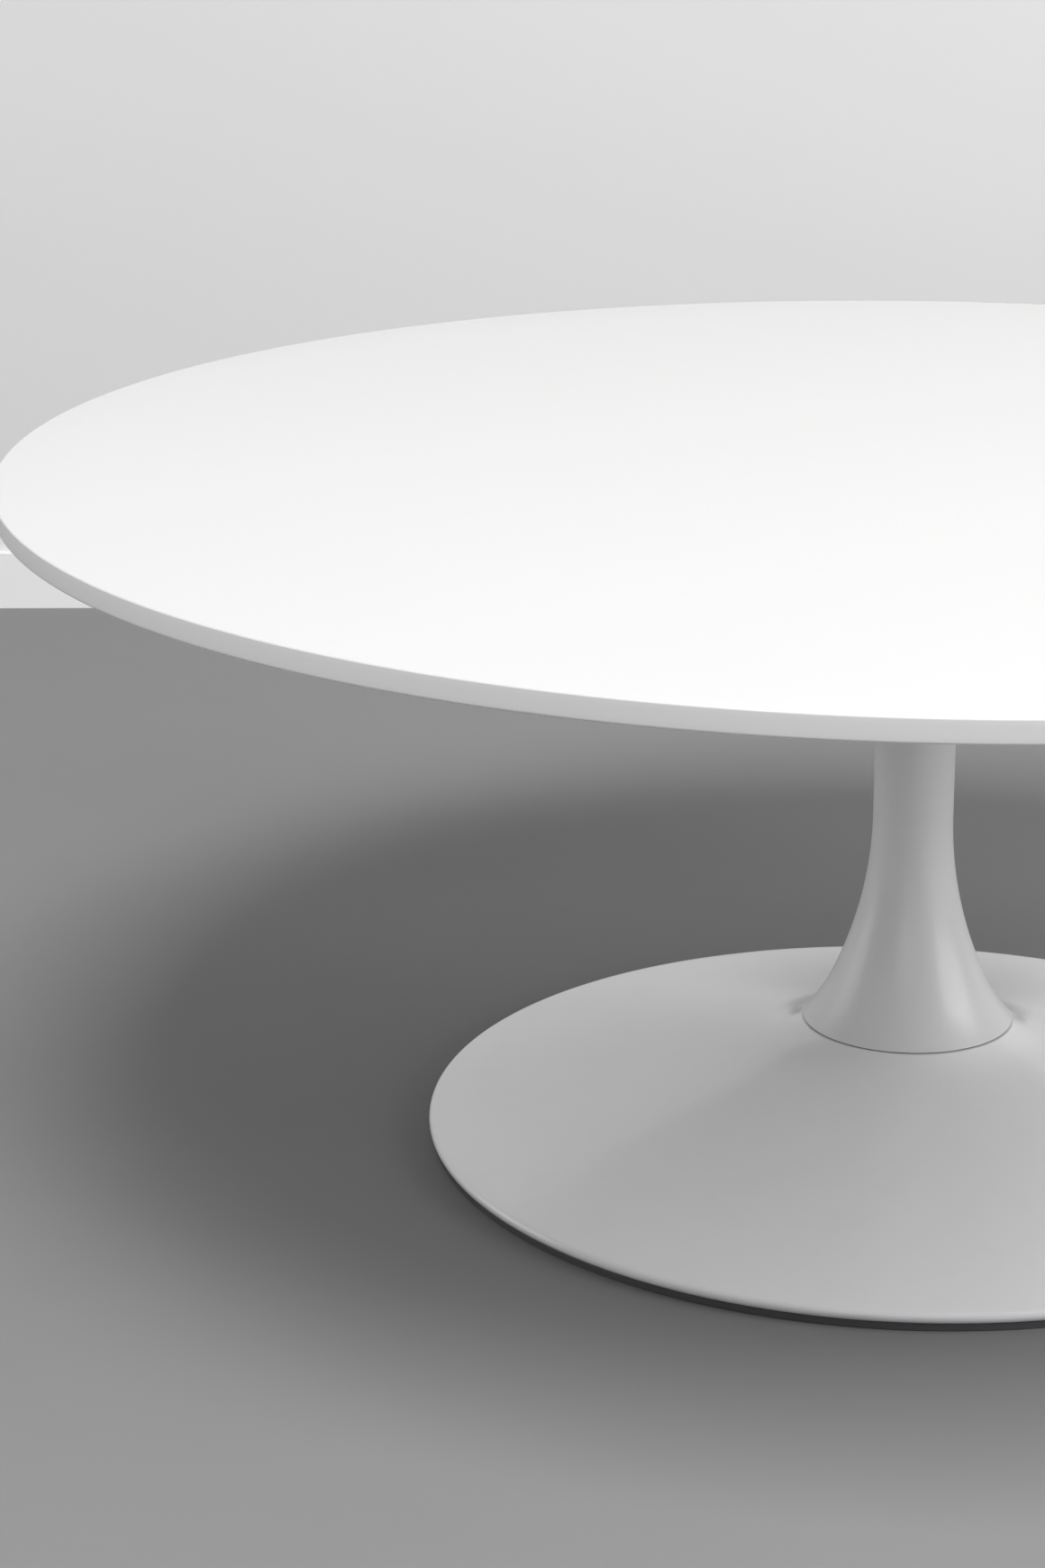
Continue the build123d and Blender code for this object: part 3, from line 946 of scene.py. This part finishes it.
# ------------------------------------------------------------------ sub-assemblies
@dataclass
class Tabletop:
    """The round panel and what holds it to the column."""

    upper_arris: float = 1.0 * MM
    lower_arris: float = 1.5 * MM
    insert_hole_radius: float = 4.5 * MM
    insert_hole_depth: float = 9.8 * MM
    insert_circle: float = 142.0 * MM
    insert_count: int = 8
    segments: int = 512
    rings: int = 12
    edge_rings: int = 3
    upper_steps: int = 8
    lower_steps: int = 10
    panel: bpy.types.Object | None = field(default=None, init=False)

    def build(self) -> None:
        """Turns the panel with its two arrises and drills it for the inserts."""
        low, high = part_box("tabletop")
        radius, bottom, top = high.x, low.z, high.z
        walk = Outline((0.0, top), 0.0)
        walk.to((radius - self.upper_arris, top), self.rings)
        walk.crown(self.upper_arris, 90.0, self.upper_steps)
        walk.to((radius, bottom + self.lower_arris), self.edge_rings)
        walk.crown(self.lower_arris, 180.0, self.lower_steps)
        walk.to((0.0, bottom), self.rings)
        self.panel = turned("round_top", walk.points, self.segments)
        spots = round_circle(self.insert_count, self.insert_circle, 180.0 / self.insert_count)
        drills, depth = straight(spots, self.insert_hole_radius), self.insert_hole_depth
        drilled(self.panel, drills, bottom - depth, bottom + depth)

    def dress(self, shop: Workshop) -> None:
        """Lacquers the panel and finishes the casting and fasteners under it.

        Args:
            shop: Where the finishes come from.
        """
        shop.dress_piece(self.panel, TOP_LACQUER, "tabletop")
        shop.dress_node("top_spider", CAST_ALLOY)
        shop.dress_node("top_inserts", INSERT_BRASS)
        for node in ("top_washers", "top_screws"):
            shop.dress_node(node, ZINC_PLATE)


@dataclass
class Column:
    """The spun tube that flares to the seam, with its turned ends."""

    tube_radius: float = 24.5 * MM
    wall: float = 2.0 * MM
    flare_radius: float = 248.0 * MM
    flare_angle: float = 25.6
    skirt_radius: float = 108.0 * MM
    skirt_angle: float = 41.4
    edge_round: float = 0.5 * MM
    edge_clearance: float = 1.05
    tube_rings: int = 12
    flare_steps: int = 40
    skirt_steps: int = 24
    edge_steps: int = 10
    segments: int = 320
    shell: bpy.types.Object | None = field(default=None, init=False)

    def curve(self, inset: float, foot: float, top: float) -> list[Vector]:
        """Tube, flare and skirt in half section.

        Args:
            inset: How far inside the outer face the curve runs.
            foot: Height of the skirt's lower edge.
            top: Height of the tube's upper end.

        Returns:
            Points from the top down to the skirt's edge.
        """
        flare, skirt = math.radians(self.flare_angle), math.radians(self.skirt_angle)
        drop = self.flare_radius * math.sin(flare)
        drop += self.skirt_radius * (math.sin(skirt) - math.sin(flare))
        walk = Outline((self.tube_radius - inset, top), 90.0)
        walk.to((self.tube_radius - inset, foot + drop), self.tube_rings)
        walk.hollow(self.flare_radius + inset, 90.0 - self.flare_angle, self.flare_steps)
        walk.hollow(self.skirt_radius + inset, 90.0 - self.skirt_angle, self.skirt_steps)
        return walk.points

    def build(self) -> None:
        """Turns the shell between its outer and inner curve, its lower edge just broken."""
        low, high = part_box("column")
        slope = 90.0 - self.skirt_angle
        rise = self.edge_round * (1.0 + math.cos(math.radians(slope)))
        start = low.z + rise * self.edge_clearance
        outer = [p for p in self.curve(0.0, low.z, high.z) if p.y > start]
        edge = self.seam_radius(low.z, high.z) - rise / math.tan(math.radians(slope))
        walk = Outline((edge, low.z + rise), slope).crown(self.edge_round, 180.0, self.edge_steps)
        inner = [p for p in self.curve(self.wall, low.z, high.z) if p.y > low.z]
        reach = (inner[-1].y - low.z) / math.tan(math.radians(slope))
        inside = Vector((inner[-1].x + reach, low.z))
        section = outer + walk.points + [inside] + inner[::-1]
        self.shell = turned("trumpet_column", section, self.segments)

    def seam_radius(self, foot: float, top: float) -> float:
        """Radius of the outer curve at the seam, before its edge is rounded."""
        return self.curve(0.0, foot, top)[-1].x

    def dress(self, shop: Workshop) -> None:
        """Coats the shell and finishes the steel inside it.

        Args:
            shop: Where the finishes come from.
        """
        shop.dress_piece(self.shell, COLUMN_COATING, "column")
        for node in ("column_head", "column_foot", "locating_pins"):
            shop.dress_node(node, TURNED_STEEL)


@dataclass
class Seam:
    """The thin gasket that shows as a dark line between column and base."""

    bead: float = 0.3 * MM
    bead_steps: int = 5
    inner_radius: float = 48.0 * MM
    pin_circle: float = 54.0 * MM
    pin_hole: float = 3.05 * MM
    pin_count: int = 2
    segments: int = 256
    gasket: bpy.types.Object | None = field(default=None, init=False)

    def build(self) -> None:
        """Turns the flat ring with a rounded outer edge."""
        low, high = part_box("seam_gasket")
        walk = Outline((self.inner_radius, high.z), 0.0)
        walk.to((high.x - self.bead, high.z), 2).crown(self.bead, 90.0, self.bead_steps)
        walk.to((high.x, low.z + self.bead)).crown(self.bead, 180.0, self.bead_steps)
        walk.to((self.inner_radius, low.z), 2)
        self.gasket = turned("seam_gasket_ring", walk.points, self.segments)
        spots = round_circle(self.pin_count, self.pin_circle)
        drills = straight(spots, self.pin_hole)
        drilled(self.gasket, drills, low.z - self.pin_hole, high.z + self.pin_hole)

    def dress(self, shop: Workshop) -> None:
        """Gives the ring its rubber."""
        shop.dress_piece(self.gasket, GASKET_RUBBER, "seam_gasket")


@dataclass
class Base:
    """The spun base, its hub and ballast, and the ring that it stands on."""

    wall: float = 2.0 * MM
    neck_slope: float = 48.6
    neck_radius: float = 45.0 * MM
    shoulder_slope: float = 22.0
    shoulder_radius: float = 200.0 * MM
    apron_slope: float = 14.0
    lip_radius: float = 3.6 * MM
    hem_length: float = 8.0 * MM
    ring_height: float = 4.6 * MM
    seat_bore: float = 20.0 * MM
    neck_rounding: float = 0.4 * MM
    pin_circle: float = 54.0 * MM
    pin_hole: float = 3.05 * MM
    pin_count: int = 2
    screw_circle: float = 36.0 * MM
    screw_hole: float = 2.65 * MM
    screw_count: int = 4
    ring_bevel: float = 0.6 * MM
    tread_width: float = 2.0 * MM
    tread_depth: float = 0.6 * MM
    tread_pitch: float = 5.0 * MM
    tread_count: int = 3
    ledge_thickness: float = 2.5 * MM
    ledge_edge: float = 262.0 * MM
    step_radius: float = 272.5 * MM
    upstand_height: float = 1.8 * MM
    upstand_width: float = 2.0 * MM
    upstand_gap: float = 0.5 * MM
    ring_screw_circle: float = 267.0 * MM
    ring_screw_hole: float = 1.95 * MM
    ring_screw_head: float = 3.8 * MM
    ring_screw_sink: float = 1.9 * MM
    ring_screw_count: int = 8
    neck_steps: int = 24
    shoulder_steps: int = 14
    apron_steps: int = 48
    lip_steps: int = 16
    rounding_steps: int = 6
    aim_passes: int = 4
    segments: int = 448
    shell: bpy.types.Object | None = field(default=None, init=False)
    ring: bpy.types.Object | None = field(default=None, init=False)

    def curve(self, inset: float, neck_top: float, rim: float) -> list[Vector]:
        """The base's sheet from the neck to the end of its hem.

        Args:
            inset: How far inside the outer face the curve runs.
            neck_top: Height of the neck's edge.
            rim: Largest radius.

        Returns:
            Points from the neck outward and back under the hem.
        """
        lip = Vector((rim - self.lip_radius, self.ring_height + self.lip_radius))
        outer = self.shoulder(0.0, neck_top)
        chord = lip + outward(self.apron_slope) * self.lip_radius - outer.points[-1]
        fall = math.degrees(math.atan2(-chord.y, chord.x))
        for _ in range(self.aim_passes):
            rim_slope = 2.0 * fall - self.apron_slope
            chord = lip + outward(rim_slope) * self.lip_radius - outer.points[-1]
            fall = math.degrees(math.atan2(-chord.y, chord.x))
        apron_radius = chord.length / 2.0 / math.sin(math.radians(self.apron_slope - rim_slope) / 2.0)
        walk = self.shoulder(inset, neck_top)
        walk.hollow(apron_radius + inset, rim_slope, self.apron_steps)
        walk.crown(self.lip_radius - inset, 180.0, self.lip_steps)
        return walk.to(walk.points[-1] - Vector((self.hem_length, 0.0)), 2).points

    def shoulder(self, inset: float, neck_top: float) -> Outline:
        """The sheet's two upper arcs, from the neck's edge to the apron.

        Args:
            inset: How far inside the outer face the walk runs.
            neck_top: Height of the neck's edge.

        Returns:
            The walk so far.
        """
        start = Vector((self.neck_edge(), neck_top)) - outward(self.neck_slope) * inset
        walk = Outline(start, self.neck_slope)
        walk.hollow(self.neck_radius + inset, self.shoulder_slope, self.neck_steps)
        return walk.hollow(self.shoulder_radius + inset, self.apron_slope, self.shoulder_steps)

    def neck_edge(self) -> float:
        """Radius of the neck's edge: the column's curve carried on down past the gasket.

        Returns:
            The radius.
        """
        column, (low, high) = Column(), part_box("column")
        gap = low.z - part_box("base_shell")[1].z
        return column.seam_radius(low.z, high.z) + gap * math.tan(math.radians(column.skirt_angle))

    def build_shell(self) -> None:
        """Turns the sheet with its flat seat, and drills the seat."""
        _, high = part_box("base_shell")
        outer = self.curve(0.0, high.z, high.x)
        seat = high.z - self.wall
        inner = [p for p in self.curve(self.wall, high.z, high.x) if p.y < seat]
        setback = self.neck_rounding * math.tan(math.radians(self.neck_slope / 2.0))
        rounding = Outline((outer[0].x - setback, high.z), 0.0)
        rounding.crown(self.neck_rounding, self.neck_slope, self.rounding_steps)
        outer = rounding.points + [p for p in outer if p.y < rounding.points[-1].y - setback]
        section = [Vector((self.seat_bore, high.z)), Vector((self.seat_bore * 2, high.z))]
        section += outer + inner[::-1] + [Vector((inner[0].x, seat)), Vector((self.seat_bore, seat))]
        self.shell = turned("trumpet_base", section, self.segments)
        drills = straight(round_circle(self.pin_count, self.pin_circle), self.pin_hole)
        screws = round_circle(self.screw_count, self.screw_circle)
        head = self.screw_hole + self.wall
        drills += [(x, y, self.screw_hole, head) for x, y in screws]
        drilled(self.shell, drills, seat, high.z + self.wall * OVERCUT)

    def build_ring(self) -> None:
        """Turns the floor ring: bevelled outer band, upstand inside the hem, ledge for the plate."""
        low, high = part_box("floor_ring")
        outer = high.x
        hem_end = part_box("base_shell")[1].x - self.lip_radius - self.hem_length
        upstand = hem_end - self.upstand_gap
        bevel, top = self.ring_bevel, self.ring_height
        section = [(self.ledge_edge, low.z)]
        for i in range(self.tread_count, 0, -1):
            edge = outer - self.tread_pitch * i
            floor_edge, roof = edge - self.tread_width, low.z + self.tread_depth
            section += [(floor_edge, low.z), (floor_edge, roof), (edge, roof), (edge, low.z)]
        section += [
            (outer - bevel, low.z),
            (outer, low.z + bevel),
            (outer, top - bevel),
            (outer - bevel, top),
            (upstand, top),
            (upstand, top + self.upstand_height),
            (upstand - self.upstand_width, top + self.upstand_height),
            (upstand - self.upstand_width, top),
            (self.step_radius, top),
            (self.step_radius, self.ledge_thickness),
            (self.ledge_edge, self.ledge_thickness),
        ]
        self.ring = turned("floor_ring_moulding", section, self.segments)
        self.drill_ring(low.z)

    def drill_ring(self, floor: float) -> None:
        """Countersinks the ring from below and drills on through its ledge.

        Args:
            floor: Height of the ring's underside.
        """
        spots = round_circle(self.ring_screw_count, self.ring_screw_circle)
        hole, sink = self.ring_screw_hole, self.ring_screw_sink
        over = sink * OVERCUT
        head = self.ring_screw_head + (self.ring_screw_head - hole) * OVERCUT
        drilled(self.ring, [(x, y, head, hole) for x, y in spots], floor - over, floor + sink)
        through = self.ledge_thickness + over
        drilled(self.ring, straight(spots, hole), floor + sink / 2.0, floor + through)

    def build(self) -> None:
        """Builds the shell and the ring."""
        self.build_shell()
        self.build_ring()

    def dress(self, shop: Workshop) -> None:
        """Coats the shell and finishes what is inside and under it.

        Args:
            shop: Where the finishes come from.
        """
        shop.dress_piece(self.shell, BASE_COATING, "base_shell")
        shop.dress_piece(self.ring, RING_PLASTIC, "floor_ring")
        shop.dress_node("base_hub", CAST_IRON)
        shop.dress_node("ballast_plate", BALLAST_PRIMER)
        shop.dress_node("bore_cap", RING_PLASTIC)
        for node in ("shoulder_screws", "hub_screws", "ring_screws"):
            shop.dress_node(node, ZINC_PLATE)


@dataclass
class TieRod:
    """The threaded rod that pulls the table together, with its nuts and washers."""

    radius: float = 6.0 * MM
    waist: float = 5.4 * MM
    root: float = 5.1 * MM
    pitch: float = 1.75 * MM
    thread: float = 45.0 * MM
    chamfer: float = 1.0 * MM
    crest_fill: float = 1.25
    crisp_angle: float = 40.0
    steps: int = 8
    segments: int = 32
    rod: bpy.types.Object | None = field(default=None, init=False)

    def radius_at(self, height: float, turn: float, low: float, high: float) -> float:
        """Radius of the rod's surface.

        Args:
            height: Height of the point.
            turn: Its angle as a share of a whole turn.
            low: The rod's lower end.
            high: Its upper end.

        Returns:
            The radius, on the thread near the ends and on the waist between them.
        """
        end = min(height - low, high - height)
        if end > self.thread:
            return self.waist
        phase = (height / self.pitch - turn) % 1.0
        crest = 1.0 - abs(2.0 * phase - 1.0)
        full = self.root + (self.radius - self.root) * min(1.0, crest * self.crest_fill)
        tip = self.radius - self.chamfer + end
        fade = min(1.0, (self.thread - end) / self.pitch)
        return min(tip, self.waist + (full - self.waist) * fade)

    def build(self) -> None:
        """Builds the rod as one skin, with a helical thread at each end."""
        low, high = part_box("tie_rod")
        pitch_steps = int(self.thread / self.pitch * self.steps)
        lower = [low.z + self.thread * i / pitch_steps for i in range(pitch_steps + 1)]
        upper = [high.z - self.thread * i / pitch_steps for i in range(pitch_steps, -1, -1)]
        shape = bmesh.new()
        rows = []
        for height in lower + upper:
            row = []
            for i in range(self.segments):
                turn = i / self.segments
                radius = self.radius_at(height, turn, low.z, high.z)
                angle = math.tau * turn
                row.append(shape.verts.new((radius * math.cos(angle), radius * math.sin(angle), height)))
            rows.append(row)
        for one, two in zip(rows, rows[1:]):
            for i in range(self.segments):
                j = (i + 1) % self.segments
                shape.faces.new((one[i], one[j], two[j], two[i]))
        shape.faces.new(rows[0])
        shape.faces.new(rows[-1])
        self.rod = finished("threaded_tie_rod", shape, self.crisp_angle)

    def dress(self, shop: Workshop) -> None:
        """Finishes the rod and what sits on its ends.

        Args:
            shop: Where the finishes come from.
        """
        shop.dress_piece(self.rod, ZINC_PLATE, "tie_rod")
        for end in ("top", "bottom"):
            for part in ("washer", "lock_washer", "nut"):
                shop.dress_node(f"rod_{end}_{part}", ZINC_PLATE)


# ------------------------------------------------------------------ studio
@dataclass(frozen=True)
class Softbox:
    """One soft area light."""

    name: str
    place: tuple[float, float, float]
    aim: tuple[float, float, float]
    size: tuple[float, float]
    power: float
    colour: Colour = (1.0, 1.0, 1.0)

    def build(self) -> None:
        """Hangs the light, unseen by the camera itself."""
        lamp = bpy.data.lights.new(self.name, "AREA")
        lamp.shape = "RECTANGLE"
        lamp.size, lamp.size_y = self.size
        lamp.energy, lamp.color = self.power, self.colour
        made = linked(self.name, lamp)
        made.location = self.place
        toward = Vector(self.aim) - Vector(self.place)
        made.rotation_mode = "QUATERNION"
        made.rotation_quaternion = toward.to_track_quat("-Z", "Y")
        made.visible_camera = False


@dataclass
class Studio:
    """Floor, wall, lights and camera round the table."""

    camera_back: float = 2.1446
    camera_height: float = 0.8909
    camera_yaw: float = -0.1120
    camera_pitch: float = 0.3028
    camera_roll: float = -0.0029
    lens: float = 83.79
    sensor_width: float = 36.0
    wall_distance: float = 3.44
    wall_height: float = 4.5
    reach: float = 9.0
    skirting_height: float = 0.054
    skirting_depth: float = 0.012
    stage_roughness: float = 0.8
    floor_colour: Colour = (0.24, 0.24, 0.24)
    wall_colour: Colour = (0.73, 0.73, 0.728)
    skirting_colour: Colour = (0.88, 0.88, 0.88)
    world_colour: Colour = (1.0, 1.0, 1.0)
    world_strength: float = 0.02
    softboxes: tuple[Softbox, ...] = (
        Softbox("overhead", (-0.06, -1.7, 4.37), (0.0, 0.0, 0.2), (1.9, 1.9), 180.0),
        Softbox("right_window", (2.34, -0.63, 1.96), (0.0, 0.0, 0.2), (1.7, 1.5), 41.0),
        Softbox("right_low", (2.8, -0.75, 0.98), (0.0, 0.0, 0.2), (2.4, 1.0), 28.0),
        Softbox("left_low", (-2.85, 0.45, 0.75), (0.0, 0.0, 0.2), (1.8, 1.3), 14.0),
        Softbox("front_left", (-1.93, -1.62, 1.85), (0.0, 0.0, 0.2), (1.8, 1.8), 9.5),
        Softbox("front_high", (0.0, -2.6, 2.6), (0.0, 0.0, 0.2), (1.6, 1.2), 6.0),
        Softbox("front_low", (-0.4, -2.85, 1.0), (0.0, 0.0, 0.2), (1.6, 1.0), 8.0),
    )

    def axes(self) -> tuple[Vector, Vector, Vector]:
        """The camera's own axes.

        Returns:
            Its right, up and forward directions.
        """
        yaw, pitch, roll = self.camera_yaw, self.camera_pitch, self.camera_roll
        ahead = Vector((math.sin(yaw) * math.cos(pitch), math.cos(yaw) * math.cos(pitch), -math.sin(pitch)))
        right = Vector((math.cos(yaw), -math.sin(yaw), 0.0))
        up = right.cross(ahead)
        turned_right = right * math.cos(roll) + up * math.sin(roll)
        turned_up = up * math.cos(roll) - right * math.sin(roll)
        return turned_right, turned_up, ahead

    def place_camera(self) -> None:
        """Stands the camera in front of the table and makes it the scene's own."""
        data = bpy.data.cameras.new("front_camera")
        data.lens, data.sensor_width = self.lens, self.sensor_width
        right, up, ahead = self.axes()
        matrix = Matrix((right, up, -ahead)).transposed().to_4x4()
        matrix.translation = (0.0, -self.camera_back, self.camera_height)
        made = linked("front_camera", data)
        made.matrix_world = matrix
        bpy.context.scene.camera = made

    def stage_material(self, name: str, colour: Colour, specular: float, speck: float) -> bpy.types.Material:
        """A plain painted surface that is clear from behind.

        Args:
            name: The material's name.
            colour: Its paint.
            specular: How much it shines.
            speck: Share by which its tone changes.

        Returns:
            The material.
        """
        made, graph = blank_material(name)
        tone = graph.noise(3.0, 4.0, 0.6)
        darker = tuple(c * (1.0 - speck) for c in colour)
        shader = graph.node("ShaderNodeBsdfPrincipled", {"Base Color": graph.blend(tone, darker, colour)})
        shader.inputs["Roughness"].default_value = self.stage_roughness
        shader.inputs["Specular IOR Level"].default_value = specular
        clear = graph.node("ShaderNodeBsdfTransparent")
        behind = graph.node("ShaderNodeNewGeometry").outputs["Backfacing"]
        mixed = graph.node("ShaderNodeMixShader", {0: behind, 1: shader.outputs[0], 2: clear.outputs[0]})
        graph.node("ShaderNodeOutputMaterial", {"Surface": mixed.outputs[0]})
        return made

    def panel(self, name: str, corners: Sequence[Vector], material: bpy.types.Material) -> bpy.types.Object:
        """One flat face of the stage.

        Args:
            name: Its name.
            corners: Its corners, anticlockwise from the side that shows.
            material: Its paint.

        Returns:
            The new object.
        """
        mesh = bpy.data.meshes.new(name)
        mesh.from_pydata([tuple(c) for c in corners], [], [tuple(range(len(corners)))])
        mesh.materials.append(material)
        made = linked(name, mesh)
        made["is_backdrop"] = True
        return made

    def build_stage(self) -> None:
        """Lays the floor and stands the wall with its skirting behind the table."""
        low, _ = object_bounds()
        reach, ground = self.reach, low.z
        paint = self.stage_material("floor_paint", self.floor_colour, 0.1, 0.08)
        spots = [(-reach, -reach), (reach, -reach), (reach, reach), (-reach, reach)]
        self.panel("floor", [Vector((x, y, ground)) for x, y in spots], paint)
        yaw = self.camera_yaw
        ahead = Vector((math.sin(yaw), math.cos(yaw), 0.0))
        right = Vector((math.cos(yaw), -math.sin(yaw), 0.0))
        foot = Vector((0.0, -self.camera_back, ground)) + ahead * self.wall_distance
        up = Vector((0.0, 0.0, self.wall_height))
        wall = self.stage_material("wall_paint", self.wall_colour, 0.1, 0.02)
        left_end, right_end = foot - right * reach, foot + right * reach
        self.panel("wall", [left_end, right_end, right_end + up, left_end + up], wall)
        board = self.stage_material("skirting_paint", self.skirting_colour, 0.3, 0.02)
        lift, out = Vector((0.0, 0.0, self.skirting_height)), -ahead * self.skirting_depth
        near_left, near_right = left_end + out, right_end + out
        upper_left, upper_right = near_left + lift, near_right + lift
        self.panel("skirting_face", [near_left, near_right, upper_right, upper_left], board)
        self.panel("skirting_top", [upper_left, upper_right, right_end + lift, left_end + lift], board)

    def light(self) -> None:
        """Sets the even light of the room and hangs the softboxes."""
        world = bpy.data.worlds.new("room_light")
        world.use_nodes = True
        ground = world.node_tree.nodes["Background"]
        ground.inputs["Color"].default_value = (*self.world_colour, 1.0)
        ground.inputs["Strength"].default_value = self.world_strength
        bpy.context.scene.world = world
        bpy.context.scene.view_settings.view_transform = "Standard"
        for box in self.softboxes:
            box.build()

    def build(self) -> None:
        """Builds the camera, the stage and the lights."""
        self.place_camera()
        self.build_stage()
        self.light()
        LOG.info("studio is ready")


def main() -> None:
    """Builds and dresses every sub-assembly, then the studio."""
    logging.basicConfig(level=logging.INFO, format="%(message)s", stream=sys.stdout)
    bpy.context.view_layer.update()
    shop = Workshop()
    for assembly in (Tabletop(), Column(), Seam(), Base(), TieRod()):
        assembly.build()
        assembly.dress(shop)
        LOG.info("%s is done", type(assembly).__name__)
    Studio().build()


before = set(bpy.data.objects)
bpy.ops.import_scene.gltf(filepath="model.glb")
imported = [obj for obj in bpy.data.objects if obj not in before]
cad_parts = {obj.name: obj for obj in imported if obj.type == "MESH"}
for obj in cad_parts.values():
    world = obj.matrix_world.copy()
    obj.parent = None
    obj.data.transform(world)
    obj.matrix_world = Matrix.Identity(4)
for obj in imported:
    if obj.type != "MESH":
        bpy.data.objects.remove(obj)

if __name__ == "__main__":
    main()
